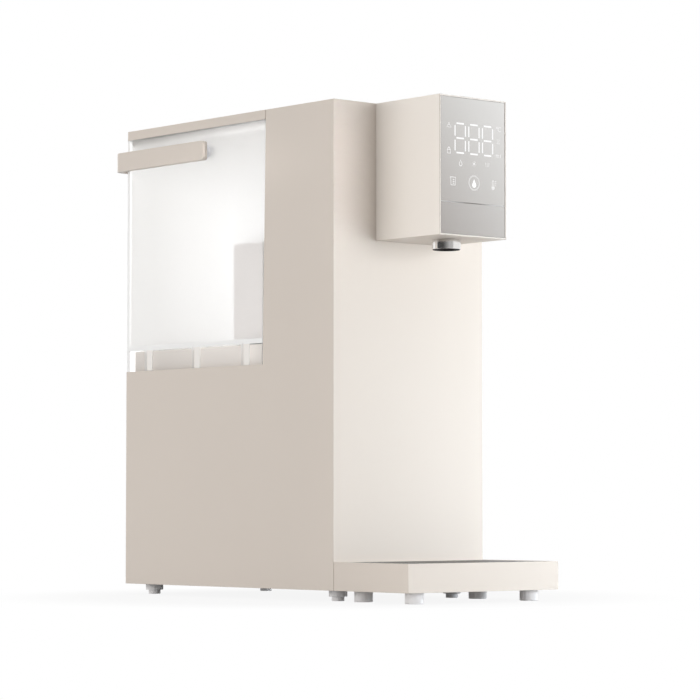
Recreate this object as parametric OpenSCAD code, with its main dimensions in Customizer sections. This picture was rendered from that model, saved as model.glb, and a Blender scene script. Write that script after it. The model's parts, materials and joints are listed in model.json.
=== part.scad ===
// Countertop water dispenser: filter column, lift-out tank, dispensing head and drip tray.
// Millimetres. In each module Y 0 is the front cover and Z 0 the floor; in_row() moves the
// pieces so that the middle of the whole depth lies at Y 0.

/* [Housing] */
// Width across the two side covers
body_w = 175; // [170:1:185]
// Depth from the front cover to the rear cover
body_d = 300; // [297:1:320]
// Height of the housing above its feet
body_h = 423.5; // [415:0.5:440]
// Thickness of covers, walls and deck
wall = 2.5; // [2:0.1:3]
// Thickness of the base plate
base_t = 3; // [2.5:0.1:4]
// Height of the rim on the base plate
base_rim_h = 15; // [10:1:20]
// Thickness of the rim on the base plate
base_rim_t = 2; // [1.5:0.1:3]
// Width and height of the ledges inside the side covers
ledge = 3; // [2:0.1:3.5]
// Height of the rear cover's lower screws above the base edge
rear_screw_h = 26; // [22:1:40]
// Length of the screw bosses inside the side covers
boss_l = 12; // [8:1:13]
// Diameter of the screw bosses
boss_d = 8; // [7:0.1:8.5]
// Distance of the rear cover's upper screws below the deck
upper_screw_down = 17; // [14:1:24]
// Thread left free at the end of each screw hole
thread_end = 3; // [2:0.1:4]
// Distance of the vents below the deck's underside
vent_down = 25; // [15:1:35]
// Number of slots in the rear cover
vent_count = 9; // [4:1:11]
// Length of each vent slot
vent_l = 90; // [60:1:110]
// Width of each vent slot
vent_w = 3.2; // [2:0.1:4]
// Spacing of the vent slots
vent_pitch = 8; // [7:0.1:9]

/* [Tank bay] */
// Depth of the column at the tank deck
column_d = 97; // [95:0.5:101]
// Lean of the bay's wall, from the deck to the top
bay_lean = 4; // [2:0.1:6]
// Height of the tank deck above the base edge
deck_h = 197.5; // [192:0.5:205]
// Height of the plinth under the tank
plinth_h = 14; // [12:0.5:15]
// Space between the plinth and the tank skirt at the sides
plinth_side = 3.5; // [3.2:0.1:5]
// Space between the plinth and the bay at front and rear
plinth_end = 6; // [5.5:0.1:9]
// Space between the plinth's rim and the tank's floor
plinth_clear = 1.2; // [0.8:0.1:2]

/* [Feet] */
// Height of the housing's lower edge above the floor
foot_h = 9.5; // [8:0.1:11]
// Diameter of each foot cup
foot_cup_d = 16.2; // [14:0.1:19]
// Diameter of each foot pad
foot_pad_d = 11; // [9:0.1:12]
// Height of the pad that shows below its cup
foot_pad_h = 3.8; // [2.5:0.1:5]
// Depth of the pad's seat in the cup
foot_seat = 2; // [1:0.1:2.5]
// Diameter of the studs that hold feet in the base and the tray
foot_stud_d = 8; // [6:0.1:8.8]
// Distance of the feet from the sides
foot_inset = 20.7; // [16:0.1:26]
// Distance of the front feet from the front cover
foot_front = 18.2; // [14:0.1:22]
// Distance of the rear feet from the rear cover
foot_rear = 17.5; // [14:0.1:24]

/* [Dispensing head] */
// Width of the head
head_w = 78; // [74:0.5:86]
// Depth of the head in front of the front cover
head_d = 82.5; // [78:0.5:90]
// Height of the head
head_h = 120.5; // [117:0.5:126]
// Wall thickness of the head
head_wall = 2.5; // [2.2:0.1:3]
// Rim of the head that shows round the display
head_rim = 1.3; // [1:0.1:1.6]
// Thickness of the display glass and fascia
glass_t = 2.5; // [2:0.1:3]
// Depth of the glass behind the rim
glass_recess = 0.3; // [0.1:0.1:0.5]
// Height of the fascia below the display glass
fascia_h = 27; // [24:0.5:30]
// Groove between the display glass and the fascia
fascia_gap = 0.5; // [0.3:0.1:0.8]
// Space behind the glass for the light guide
guide_t = 8; // [6:0.5:10]
// Thickness of circuit boards
board_t = 1.6; // [1.2:0.1:2]
// Reach of the display board below the groove
board_low = 8; // [5:0.5:10]
// Distance of the display board below the head's top
board_down = 15; // [10:0.5:17]
// Border of the light guide round the digits
guide_edge = 4; // [2:0.5:5]
// Gap between a digit's segments
segment_gap = 1; // [0.6:0.1:1.5]
// Height of the hose above the head's underside
hose_up = 23.5; // [22:0.5:28]
// Height of the ribs that carry the display board
board_rib = 3; // [2:0.1:4]
// Diameter of the touch pads
touch_d = 9; // [7:0.5:12]
// Spacing of the touch pads
touch_pitch = 24.2; // [20:0.1:26]
// Height of the touch pads above the groove
touch_h = 18; // [14:0.5:20]
// Width of a display digit
digit_w = 13.8; // [12:0.1:14.5]
// Height of a display digit
digit_h = 27; // [24:0.5:29]
// Spacing of the display digits
digit_pitch = 16.2; // [15.5:0.1:18]
// Height of the digits' middle above the groove
digit_mid = 55.5; // [50:0.5:58]
// Width of a digit's segment
segment_w = 1.8; // [1.4:0.1:2.2]

/* [Outlet] */
// Diameter of the metal outlet ring
outlet_d = 25; // [23:0.1:28]
// Height of the metal outlet ring
outlet_h = 9; // [7:0.1:12]
// Distance of the outlet behind the head's front
outlet_back = 34.5; // [30:0.5:45]
// Diameter of the insert inside the ring
insert_d = 20; // [18:0.1:21]
// Depth of the insert's rim inside the ring
insert_in = 1; // [0.5:0.1:2]
// Thickness of the insert's flange
insert_flange_t = 2; // [1.5:0.1:3]
// Reach of the insert's flange
insert_flange = 3; // [2:0.1:4]
// Diameter of the outlet's open mouth
mouth_d = 15; // [12:0.1:16]

/* [Drip tray] */
// Depth of the tray
tray_d = 96; // [90:1:110]
// Height of the tray's wall
tray_h = 24.5; // [22:0.5:30]
// Wall and floor thickness of the tray
tray_wall = 2.5; // [2:0.1:3]
// Rim of the tray that shows round the grille
tray_rim = 2.2; // [1.8:0.1:2.6]
// Width of the ledge under the grille
tray_ledge = 3; // [2:0.1:5]
// Distance of the front tray feet from the tray's front
tray_foot_front = 15.7; // [12:0.1:20]
// Distance of the rear tray feet from the front cover
tray_foot_rear = 15.4; // [12:0.1:20]
// Diameter of the tray feet
tray_foot_d = 16; // [12:0.1:18]
// Thickness of the drip grille
grille_t = 1.5; // [1:0.1:2]
// Spacing of the grille's slots
grille_pitch = 8; // [7:0.1:10]
// Width of the grille's slots
grille_slot = 4; // [3:0.1:5]
// Solid border of the grille
grille_edge = 9; // [6:0.5:12]
// Width of the tongues that dock the tray
tongue_w = 12; // [8:0.5:16]
// Height of the tongues
tongue_h = 4; // [3:0.1:5]
// Length of the tongues behind the front cover's face
tongue_l = 6; // [4:0.5:8]
// Distance of the tongues from the middle
tongue_x = 55; // [45:1:62]
// Height of the tongues above the tray's lower edge
tongue_up = 8.5; // [6:0.5:12]

/* [Water tank] */
// Wall thickness of the tank
tank_wall = 3; // [2.5:0.1:3.5]
// Thickness of the tank's floor
tank_floor_t = 3.3; // [2.8:0.1:4]
// Height of the skirt below the tank's floor
skirt_h = 20; // [18:0.5:22]
// Radius of the tank's rear corners
tank_corner = 1.5; // [1:0.1:2.5]
// Space between the tank and the bay's wall
tank_gap = 0.6; // [0.4:0.1:1]
// Width of the ribs in the skirt
rib_w = 7.5; // [5:0.1:9]
// Depth of the ribs in the skirt
rib_d = 2; // [1.5:0.1:2.2]
// Spacing of the ribs
rib_pitch = 72; // [60:1:75]
// Distance of the middle rib in front of the tank's middle
rib_forward = 2.8; // [0:0.1:5]
// Thickness of the tank lid
lid_t = 8.5; // [7:0.1:10]
// Depth of the lid's plug
plug_h = 7; // [6:0.1:8]
// Wall thickness of the plug
plug_t = 2; // [1.5:0.1:3]
// Space between the plug and the tank wall
plug_gap = 1.2; // [1:0.1:1.6]
// Height of the lid seal
seal_h = 3.5; // [2:0.1:4.5]
// Distance of the lid seal below the tank's rim
seal_down = 1.5; // [1:0.1:2]
// Distance of the lid's air hole from the tank's rear
air_back = 30; // [15:1:60]
// Diameter of the lid's air hole
air_hole = 4; // [3:0.1:6]

/* [Carrying bail] */
// Height of the bail's section
bail_h = 17.5; // [15:0.1:19]
// Thickness of the bail's section
bail_t = 5.6; // [5:0.1:5.8]
// Distance of the bail's outer face from the tank
bail_out = 10; // [9.6:0.1:12]
// Outer radius of the bail's corners
bail_corner = 12; // [8:0.5:14]
// Radius of the bail's front ends
bail_end_r = 5; // [3:0.1:7]
// Distance of the pivot from the tank's rear
pivot_back = 121; // [118:0.1:126]
// Distance of the pivot below the lid's top
pivot_down = 29.5; // [25:0.1:31]
// Diameter of the pivot pins
pivot_d = 8; // [6:0.1:9]
// Depth of the pivot's hole in the bail
pivot_l = 4; // [3:0.1:4.3]
// Diameter of the pin's boss between tank and bail
pivot_boss_d = 13; // [11:0.1:16]
// Diameter of the pin's stud in the tank wall
pivot_stud_d = 6; // [5:0.1:7]
// Thickness of the pin's head inside the tank
pivot_head_t = 2; // [1.5:0.1:3]

/* [Level float] */
// Width of the float cage
cage_w = 38; // [32:1:44]
// Depth of the float cage
cage_d = 42; // [36:1:44]
// Height of the float cage
cage_h = 86; // [78:1:100]
// Wall thickness of the float cage
cage_t = 2; // [1.5:0.1:2.5]
// Space between the cage and the tank walls
cage_gap = 0.4; // [0.3:0.1:0.8]
// Solid border of the cage's slots
cage_edge = 8; // [6:0.5:10]
// Width of the cage's slots
cage_slot = 4; // [3:0.1:5]
// Height of the float
float_h = 24; // [18:1:28]
// Space round the float
float_gap = 1.5; // [1:0.1:2.5]

/* [Tank dock] */
// Distance of the dock valves behind the bay's foot
dock_back = 48; // [47:1:60]
// Diameter of the valve spigots
spigot_d = 18; // [16:0.1:18.5]
// Length of the spigots below the tank's floor
spigot_l = 17; // [16:0.1:17.8]
// Height of the valve towers above the tank's floor
tower_h = 13.7; // [13:0.1:20]
// Diameter of the hole in the valve seat
seat_d = 8; // [7:0.1:9]
// Diameter of the chamber in the valve
chamber_d = 13; // [12.6:0.1:13.4]
// Thickness of the valve seat
seat_t = 3; // [2:0.1:3.2]
// Lift of the poppet while the tank is docked
poppet_lift = 4; // [3:0.1:4.4]
// Diameter of the poppet's disc
poppet_d = 12; // [11:0.1:12.2]
// Thickness of the poppet's disc
poppet_t = 3; // [2:0.1:3.5]
// Diameter of poppet stems and of the post under them
stem_d = 4; // [3:0.1:4.4]
// Outer diameter of the valve spring
spring_d = 10; // [9:0.1:11]
// Thickness of the valve spring's wire
spring_t = 0.8; // [0.6:0.1:1]
// Outer diameter of the dock sockets
socket_d = 25.6; // [24:0.1:27]
// Diameter of the sockets' flange
socket_flange_d = 32; // [30:0.5:36]
// Thickness of the sockets' flange
socket_flange_t = 1.5; // [1:0.1:2]
// Depth of the sockets below the deck
socket_under = 1.5; // [1:0.1:3]
// Thickness of the sockets' floor
socket_floor = 3; // [2:0.1:3.4]
// Diameter of the collecting chamber under each socket
sump_d = 16; // [14:0.1:20]
// Height of that chamber
sump_h = 8; // [6:0.1:9]
// Thickness of the web that guides each poppet
web_t = 4; // [3:0.1:4.5]
// Reach of the valve flanges on the tank's floor
valve_flange = 5; // [3:0.1:6]
// Thickness of the valve flanges
valve_flange_t = 2; // [1.5:0.1:2.4]
// Diameter of the valves' water holes
water_hole = 3; // [2:0.1:3.2]
// Diameter of the windows in the valve towers
window_d = 6; // [5:0.1:7]
// Distance of the seal rings above the spigots' lower end
ring_up = 4; // [3.5:0.1:5]
// Thickness of seal rings
ring_t = 2.4; // [2:0.1:2.6]

/* [Filters] */
// Space between the cartridges and the bay's wall
cartridge_rear = 7; // [6:0.5:8]
// Space between the cartridges and the side covers
cartridge_side = 7; // [6:0.5:9]
// Space between the two cartridges
cartridge_gap = 8; // [5:0.5:9]
// Space between the front cover and the cartridges
cartridge_front = 7; // [6:0.5:7.5]
// Diameter of the cartridge spigot
filter_spigot_d = 35; // [32:0.1:37]
// Clearance round the cartridge spigot
filter_spigot_gap = 0.5; // [0.3:0.1:0.8]
// Reach of the bayonet lugs
lug_reach = 3; // [2:0.1:3.5]
// Height of the bayonet lugs
lug_h = 3; // [2:0.1:3.5]
// Width of the bayonet lugs
lug_w = 9; // [7:0.1:11]
// Height of the manifold's underside above the base plate
manifold_up = 75.5; // [72:0.5:80]
// Thickness of the manifold
manifold_t = 24; // [22:0.5:27]
// Solid border of the manifold round its sockets
manifold_edge = 4; // [3:0.1:5]
// Length of the manifold's arms beside the sockets
manifold_arm = 20; // [16:0.5:21]
// Height of the ports above the manifold's underside
port_up = 14; // [11:0.5:16]
// Distance of the lugs below the manifold's top
lug_down = 11; // [9:0.5:12]
// Length of the cartridge spigot in the manifold
spigot_in = 18.5; // [17:0.5:19.5]
// Width of the stand's posts
post_w = 8; // [6:0.5:9]
// Thickness of the stand's frame
frame_t = 3; // [2:0.1:4]
// Height of the rim under the filter cover
cover_rim_h = 8; // [5:0.5:10]
// Distance of that rim from the cover's edge
cover_rim_in = 4; // [3.8:0.1:5]
// Space between the filter cover's rim and the cartridges
cover_space = 2; // [1:0.5:4]
// Height of the cartridge's neck and cap
cap_h = 6; // [4:0.5:8]
// Step from the cartridge to its neck
neck_in = 8; // [6:0.5:10]
// Step from the cartridge to its cap
cap_in = 3; // [2:0.5:5]
// Height of the grip on a cartridge
grip_h = 14; // [10:0.5:18]
// Thickness of the grip on a cartridge
grip_t = 9; // [7:0.5:12]

/* [Water works] */
// Outer diameter of the hoses
hose_d = 8; // [7:0.1:8.5]
// Inner diameter of the hoses
hose_bore = 5; // [4.6:0.1:5.4]
// Bend radius of the hoses
hose_bend = 9; // [8:0.1:9.5]
// Length of the nipples inside the hose ends
nipple_l = 9; // [7:0.1:9.5]
// Straight length of a hose before its first bend's end
hose_lead = 20; // [19.5:0.1:22]
// Spacing of the manifold's ports
port_pitch = 11; // [10:0.1:12]
// Diameter of the booster pump's head
pump_head_d = 66; // [62:0.5:67]
// Length of the booster pump's head
pump_head_l = 65; // [60:0.5:70]
// Diameter of the booster pump's motor
pump_motor_d = 62; // [58:0.5:63]
// Length of the booster pump's motor
pump_motor_l = 80; // [75:0.5:85]
// Distance of the booster pump behind the bay's foot
pump_back = 33; // [32:0.5:36]
// Height of the rubber pump mounts
pump_mount_h = 7; // [5:0.1:9]
// Diameter of the rubber pump mounts
pump_mount_d = 12; // [10:0.1:14]
// Thickness of the pump's sheet bracket
bracket_t = 2; // [1.5:0.1:2.5]
// Space between the bracket and the pump's head
pump_clear = 3.5; // [2:0.1:5]
// Length of the narrow nose of the pump's head
pump_nose_l = 30; // [26:0.5:32]
// Step from the pump's head to its nose
pump_nose_in = 5; // [4:0.5:6]
// Length of the bracket under the pump's head
bracket_front = 30; // [26:0.5:32]
// Distance of the bracket's edges inside the motor's width
bracket_in = 3; // [2:0.5:5]
// Thickness of the bracket's cradles
cradle_t = 4; // [3:0.1:6]
// Distance of the cradles from the motor's ends
cradle_in = 10; // [6:0.5:14]
// Distance of the mounts from the bracket's ends
mount_in = 8; // [7.5:0.5:9]
// Half the spacing of the booster pump's ports
pump_port = 8; // [6.5:0.1:10]
// Width of the delivery pump
delivery_w = 24; // [20:0.5:25]
// Length of the delivery pump's head
delivery_head_l = 28; // [24:0.5:32]
// Length of the delivery pump's motor
delivery_motor_l = 45; // [38:0.5:50]
// Height of the delivery pump's axis above the base plate
delivery_up = 17.5; // [15:0.5:18]
// Distance of the delivery pump behind the bay's foot
delivery_back = 75; // [70:0.5:85]
// Diameter of the heater's tube
heater_d = 44; // [40:0.5:45]
// Length of the heater between its caps
heater_l = 130; // [120:0.5:140]
// Diameter of the heater's caps
heater_cap_d = 47; // [46:0.5:48]
// Thickness of the heater's caps
heater_cap_t = 10; // [8:0.5:12]
// Distance of the heater behind the bay's foot
heater_back = 23; // [21:0.5:30]
// Height of the heater's axis above the base plate
heater_up = 31.5; // [29:0.5:34]
// Width of the heater's clamps
heater_clamp_w = 48; // [47:0.5:49]
// Thickness of the heater's clamps
heater_clamp_t = 6; // [4:0.5:8]
// Distance of the clamps from the heater's ends
heater_clamp_in = 25; // [15:0.5:40]
// Height offset of the heater's ports from its axis
heater_port = 14; // [12:0.5:16]
// Space between the booster pump and the purified water tank
pure_up = 14; // [11:0.5:18]
// Space between the purified water tank and the left cover
pure_side = 7; // [5:0.5:10]
// Reach of the purified water tank past its port
pure_over = 6; // [5:0.5:7]
// Corner radius of the purified water tank
pure_corner = 4; // [3.5:0.5:6]
// Wall thickness of the purified water tank
pure_wall = 2; // [1.5:0.1:3]
// Distance of the purified water tank behind the bay's foot
pure_back = 68; // [66:0.5:75]
// Distance of the purified water tank from the rear cover
pure_rear = 17.5; // [15:0.5:25]
// Height of the hangers on the purified water tank
hanger_h = 14.5; // [12:0.5:18]
// Diameter of the hangers
hanger_d = 12; // [9:0.5:14]
// Width of the solenoid coils
coil_w = 26; // [22:0.5:28]
// Height of the solenoid coils
coil_h = 28; // [24:0.5:31]
// Height of the necks above the coils
coil_neck_h = 8; // [6:0.5:9]
// Distance of the coils behind the filters' axes
coil_back = 12; // [6:0.5:14]

/* [Electrics] */
// Diameter of the cord's hole in the gland
gland_bore = 7.6; // [6:0.1:9]
// Diameter of the gland's neck
gland_d = 15.8; // [13:0.1:17]
// Diameter of the gland's flanges
gland_flange_d = 21; // [19:0.5:24]
// Thickness of the gland's inner flange
gland_nut_t = 4; // [3:0.1:5]
// Thickness of the gland's outer flange
gland_flange_t = 2; // [1.5:0.1:3]
// Length of the gland outside the rear cover
gland_out = 6; // [4:0.5:9]
// Height of the gland above the base plate
gland_up = 24; // [20:0.5:32]
// Room kept for the board bracket at the right side
board_room = 19; // [18:0.5:22]
// Space between the right cover and the board bracket
board_side = 2.5; // [1.5:0.1:4]
// Thickness of the board bracket
board_bracket_t = 2; // [1.5:0.1:3]
// Width of the board bracket's foot
board_foot_w = 10; // [7:0.5:11]
// Distance of the board bracket behind the bay's foot
board_front = 14; // [10:0.5:18]
// Distance of the board bracket in front of the rear screw bosses
board_rear = 6.5; // [4:0.5:12]
// Border of the bracket round the main board
board_edge = 4; // [3:0.5:6]
// Height of the main board
main_board_h = 100; // [90:1:104]
// Distance of the standoffs from the main board's edges
standoff_in = 8; // [6:0.5:10]
// Diameter of the standoffs
standoff_d = 6; // [5:0.5:8]
// Height of the board's standoffs
standoff = 3.5; // [2.5:0.1:4.5]
// Greatest height of the parts on the main board
part_h = 22; // [18:0.5:24]

/* [Fasteners] */
// Shank diameter of the screws
screw_d = 2.8; // [2.5:0.1:3]
// Head diameter of the screws
screw_head_d = 5.6; // [5:0.1:6.2]
// Head height of the screws
screw_head_h = 2; // [1.5:0.1:2.4]

/* [Clearances] */
// Gap between pieces that part or slide
gap = 0.3; // [0.2:0.05:0.4]
// Radial clearance of pins, studs and nipples in their holes
fit = 0.05; // [0.03:0.01:0.08]

/* [Hidden] */
$fn = 72;
eps = 1;
half_w = body_w / 2;
in_w = half_w - wall;
z_edge = foot_h;
z_top = foot_h + body_h;
z_deck = foot_h + deck_h;
z_base = foot_h + base_t;
column_top_d = column_d - bay_lean;
front_y = -(body_d + bail_out - tray_d) / 2;
shell_beige = [0.84, 0.80, 0.76];
foot_grey = [0.62, 0.61, 0.61];
dark_grey = [0.30, 0.30, 0.30];
black = [0.08, 0.08, 0.08];
steel = [0.75, 0.75, 0.74];
white = [0.92, 0.92, 0.90];
clear = [0.90, 0.92, 0.92, 0.45];
board_green = [0.12, 0.35, 0.22];
glass_grey = [0.72, 0.71, 0.70];
hose_tint = [0.85, 0.86, 0.84];
head_z = z_top - head_h;
pocket_d = glass_t + glass_recess;
groove_z = head_z + head_rim + gap + fascia_h;
guide_y = -head_d + pocket_d;
board_y = guide_y + guide_t;
outlet_y = -head_d + outlet_back;
head_boss_x = (head_w - boss_d) / 2 - 1;
head_boss_z = [head_z + boss_d / 2 + 1, z_top - wall - cover_rim_h - boss_d / 2];
tray_half = half_w - gap / 3;
tray_z = z_edge + tray_h;
foot_x = half_w - foot_inset;
plinth_half = half_w - tank_wall - plinth_side;
plinth_z = z_deck + plinth_h;
rim_z = z_top - lid_t;
floor_z = z_deck + skirt_h;
water_z = floor_z + tank_floor_t;
cage_y = max(bay_y(water_z), bay_y(water_z + cage_h)) + tank_gap + tank_wall + cage_gap;
pivot_y = body_d - pivot_back;
pivot_z = z_top - pivot_down;
arm_in = half_w + bail_out - bail_t;
cartridge_d = min(column_top_d - 2 * wall - cartridge_front - cartridge_rear,
  in_w - cartridge_side - cartridge_gap / 2);
filter_x = (cartridge_d + cartridge_gap) / 2;
filter_y = wall + cartridge_front + cartridge_d / 2;
manifold_z = z_base + manifold_up;
manifold_top = manifold_z + manifold_t;
port_z = manifold_z + port_up;
socket_r = filter_spigot_d / 2 + filter_spigot_gap;
lug_r = filter_spigot_d / 2 + lug_reach;
manifold_y = [filter_y - lug_r - manifold_edge, filter_y + cartridge_d / 2 + manifold_edge / 2];
manifold_half = filter_x + socket_r + manifold_arm;
lug_z = manifold_top - lug_down;
nose_z = manifold_top - spigot_in;
lug_turn = 60;
dock_x = filter_x - port_pitch;
dock_y = column_d + dock_back;
spigot_z = floor_z - spigot_l;
seat_z = spigot_z + seat_t;
poppet_z = seat_z + poppet_lift;
tower_z = water_z + tower_h;
socket_z = z_deck - wall - socket_under;
sump_z = socket_z - sump_h;
post_z = poppet_z - poppet_t;
socket_bore = spigot_d / 2 + gap;
pump_x = -(filter_x + port_pitch) + pump_port;
pump_y = column_d + pump_back;
bracket_z = z_base + pump_mount_h;
pump_z = bracket_z + bracket_t + pump_clear + pump_head_d / 2;
pump_y1 = pump_y + pump_head_l + pump_motor_l;
heater_x = in_w - board_room - heater_clamp_w / 2;
heater_y = column_d + heater_back;
heater_z = z_base + heater_up;
delivery_x = (pump_x + pump_head_d / 2 + heater_x - heater_clamp_w / 2) / 2;
delivery_y = column_d + delivery_back;
delivery_z = z_base + delivery_up;
feed_y = delivery_y + delivery_head_l / 2;
pure_z = pump_z + pump_head_d / 2 + pure_up;
pure_h = z_deck - wall - hanger_h - pure_z;
pure_x = [pure_side - in_w, filter_x + pure_over];
pure_y = [column_d + pure_back, body_d - wall - pure_rear];
pure_port_z = pure_z + pure_h / 2;
bracket_x = in_w - board_side - board_bracket_t;
bracket_y = column_d + board_front;
bracket_l = body_d - wall - boss_l - board_rear - bracket_y;
bracket_top = z_deck - wall - ledge - gap;
main_board_x = bracket_x - standoff - board_t;
main_board_y = bracket_y + board_edge;
main_board_l = bracket_l - 2 * board_edge;
main_board_z = bracket_top - board_edge - main_board_h;
hose_front_y = wall + cartridge_front + hose_d / 2;
hose_low_z = heater_z - heater_port;
hose_head_z = head_z + hose_up;
screw_x = in_w - boss_d / 2 - gap;
rear_screw_z = [z_edge + rear_screw_h, z_deck - upper_screw_down];
gland_z = z_base + gland_up;

// Depth of the bay's sloping wall at a height
function bay_y(z) = column_d + (column_top_d - column_d) * (z - z_deck) / (z_top - z_deck);

// Direction of a vector
function unit(v) = v / norm(v);

// Moves a piece from the front cover's frame to the row frame
module in_row() {
  translate([0, front_y, 0]) children();
}

// Box between two opposite corners
module block(a, b) {
  translate(a) cube(b - a);
}

// Extrudes an outline of depth and height along X
module along_x(x, l) {
  translate([x, 0, 0]) rotate([90, 0, 90]) linear_extrude(l) children();
}

// Extrudes an outline of width and height along Y
module along_y(y, l) {
  translate([0, y + l, 0]) rotate([90, 0, 0]) linear_extrude(l) children();
}

// Round bar between two points along X, Y or Z
module rod(a, b, d) {
  u = unit(b - a);
  v = [u[1], u[2], u[0]];
  w = cross(u, v);
  multmatrix([[v[0], w[0], u[0], a[0]], [v[1], w[1], u[1], a[1]], [v[2], w[2], u[2], a[2]], [0, 0, 0, 1]])
    cylinder(h = norm(b - a), d = d);
}

// Quarter bend of a round bar from one direction to another
module elbow(p, from, to, d) {
  side = cross(-to, from);
  c = p - hose_bend * from + hose_bend * to;
  multmatrix([[-to[0], from[0], side[0], c[0]], [-to[1], from[1], side[1], c[1]],
    [-to[2], from[2], side[2], c[2]], [0, 0, 0, 1]])
    rotate_extrude(angle = 90) translate([hose_bend, 0]) circle(d = d);
}

// Bar of one diameter along square turns
module run(pts, d) {
  last = len(pts) - 1;
  for (i = [0:last - 1]) {
    u = unit(pts[i + 1] - pts[i]);
    rod(pts[i] + u * (i == 0 ? 0 : hose_bend), pts[i + 1] - u * (i == last - 1 ? 0 : hose_bend), d);
  }
  if (last > 1) {
    for (i = [1:last - 1]) {
      elbow(pts[i], unit(pts[i] - pts[i - 1]), unit(pts[i + 1] - pts[i]), d);
    }
  }
}

// Hose along square turns
module hose(pts) {
  last = len(pts) - 1;
  start = pts[0] - unit(pts[1] - pts[0]) * eps;
  end = pts[last] + unit(pts[last] - pts[last - 1]) * eps;
  difference() {
    run(pts, hose_d);
    run([for (i = [0:last]) i == 0 ? start : i == last ? end : pts[i]], hose_bore);
  }
}

// Hose nipple on a face, pointing along a direction
module nipple(p, u) {
  rod(p - u * eps, p + u * nipple_l, hose_bore - 2 * fit);
}

// Water passage through a nipple and the wall behind it
module passage(p, u, l) {
  rod(p - u * l, p + u * (nipple_l + eps), hose_bore / 2);
}

// Slot outline with round ends along X
module slot(l, w) {
  square([l - w, w], center = true);
  for (s = [-1, 1]) translate([s * (l - w) / 2, 0]) circle(d = w);
}

// Rectangle with four round corners
module rounded(w, h, r) {
  square([w - 2 * r, h], center = true);
  square([w, h - 2 * r], center = true);
  for (x = [-1, 1], y = [-1, 1]) translate([x * (w / 2 - r), y * (h / 2 - r)]) circle(r = r);
}

// Plan outline with two round rear corners
module rear_rounded(half, y0, y1, r) {
  translate([-half, y0]) square([2 * half, y1 - y0 - r]);
  translate([r - half, y0]) square([2 * (half - r), y1 - y0]);
  for (s = [-1, 1]) translate([s * (half - r), y1 - r]) circle(r = r);
}

// Prism that follows the tank's outline between two heights, drawn in from its faces
module tank_prism(z0, z1, inset) {
  intersection() {
    along_x(-half_w + inset, 2 * (half_w - inset))
      polygon([[bay_y(z0) + tank_gap + inset, z0], [body_d - inset, z0], [body_d - inset, z1],
        [bay_y(z1) + tank_gap + inset, z1]]);
    translate([0, 0, z0]) linear_extrude(z1 - z0)
      rear_rounded(half_w - inset, 0, body_d - inset, max(tank_corner - inset, 0.4));
  }
}

// Pan-head screw along Y, head towards +Y
module screw(x, y, z, l) {
  rod([x, y - l, z], [x, y, z], screw_d);
  rod([x, y, z], [x, y + screw_head_h, z], screw_head_d);
}

module at_feet() {
  for (s = [-1, 1], y = [foot_front, body_d - foot_rear]) translate([s * foot_x, y, 0]) children();
}

module at_tray_feet() {
  for (s = [-1, 1], y = [-tray_d + tray_foot_front, -tray_foot_rear]) {
    translate([s * foot_x, y, 0]) children();
  }
}

module at_docks() {
  for (s = [-1, 1]) translate([s * dock_x, dock_y, 0]) children();
}

module at_filters() {
  for (s = [-1, 1]) translate([s * filter_x, filter_y, 0]) children();
}

module base_plate() {
  color(dark_grey) difference() {
    union() {
      block([-in_w, wall, z_edge], [in_w, body_d - wall, z_base]);
      difference() {
        block([-in_w, column_d, z_base - eps], [in_w, body_d - wall, z_edge + base_rim_h]);
        block([base_rim_t - in_w, 0, z_base - 2 * eps],
          [in_w - base_rim_t, body_d - wall - base_rim_t, z_top]);
      }
    }
    at_feet() translate([0, 0, z_edge - eps]) cylinder(h = base_t + 2 * eps, d = foot_stud_d + 2 * fit);
  }
}

// Side cover on one side: an L-shaped panel mitred at the front, with ledges and screw bosses inside
module side_cover(s) {
  deck_under = z_deck - wall;
  cover_under = z_top - wall;
  intersection() {
    along_x(s > 0 ? in_w : -half_w, wall)
      polygon([[0, z_edge], [body_d, z_edge], [body_d, z_deck], [column_d, z_deck],
        [column_top_d, z_top], [0, z_top]]);
    linear_extrude(z_top + eps)
      polygon([[s * half_w, 0], [s * half_w, body_d], [s * in_w, body_d], [s * in_w, wall]]);
  }
  for (run = [[column_d, body_d - wall, deck_under], [wall, column_top_d - wall, cover_under]]) {
    x = s > 0 ? [in_w - ledge, in_w] : [-in_w, ledge - in_w];
    block([x[0], run[0] + ledge, run[2] - ledge], [x[1], run[1] - ledge, run[2]]);
  }
  for (z = rear_screw_z) {
    x = s > 0 ? [screw_x, in_w] : [-in_w, -screw_x];
    difference() {
      union() {
        rod([s * screw_x, body_d - wall - boss_l, z], [s * screw_x, body_d - wall, z], boss_d);
        block([x[0], body_d - wall - boss_l, z - boss_d / 2], [x[1], body_d - wall, z + boss_d / 2]);
      }
      rod([s * screw_x, body_d - wall - boss_l + thread_end / 2, z], [s * screw_x, body_d, z],
        screw_d + 2 * fit);
    }
  }
}

module left_side_cover() {
  color(shell_beige) side_cover(-1);
}

module right_side_cover() {
  color(shell_beige) side_cover(1);
}

module front_cover() {
  color(shell_beige) difference() {
    translate([0, 0, z_edge]) linear_extrude(body_h)
      polygon([[-half_w, 0], [half_w, 0], [in_w, wall], [-in_w, wall]]);
    for (s = [-1, 1], z = head_boss_z) {
      rod([s * head_boss_x, -eps, z], [s * head_boss_x, wall + eps, z], screw_d + 4 * gap);
    }
    rod([0, -eps, hose_head_z], [0, wall + eps, hose_head_z], hose_d + 2 * gap);
    for (s = [-1, 1]) {
      block([s * tongue_x - tongue_w / 2 - gap, -eps, z_edge + tongue_up - gap],
        [s * tongue_x + tongue_w / 2 + gap, wall + eps, z_edge + tongue_up + tongue_h + gap]);
    }
  }
}

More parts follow.
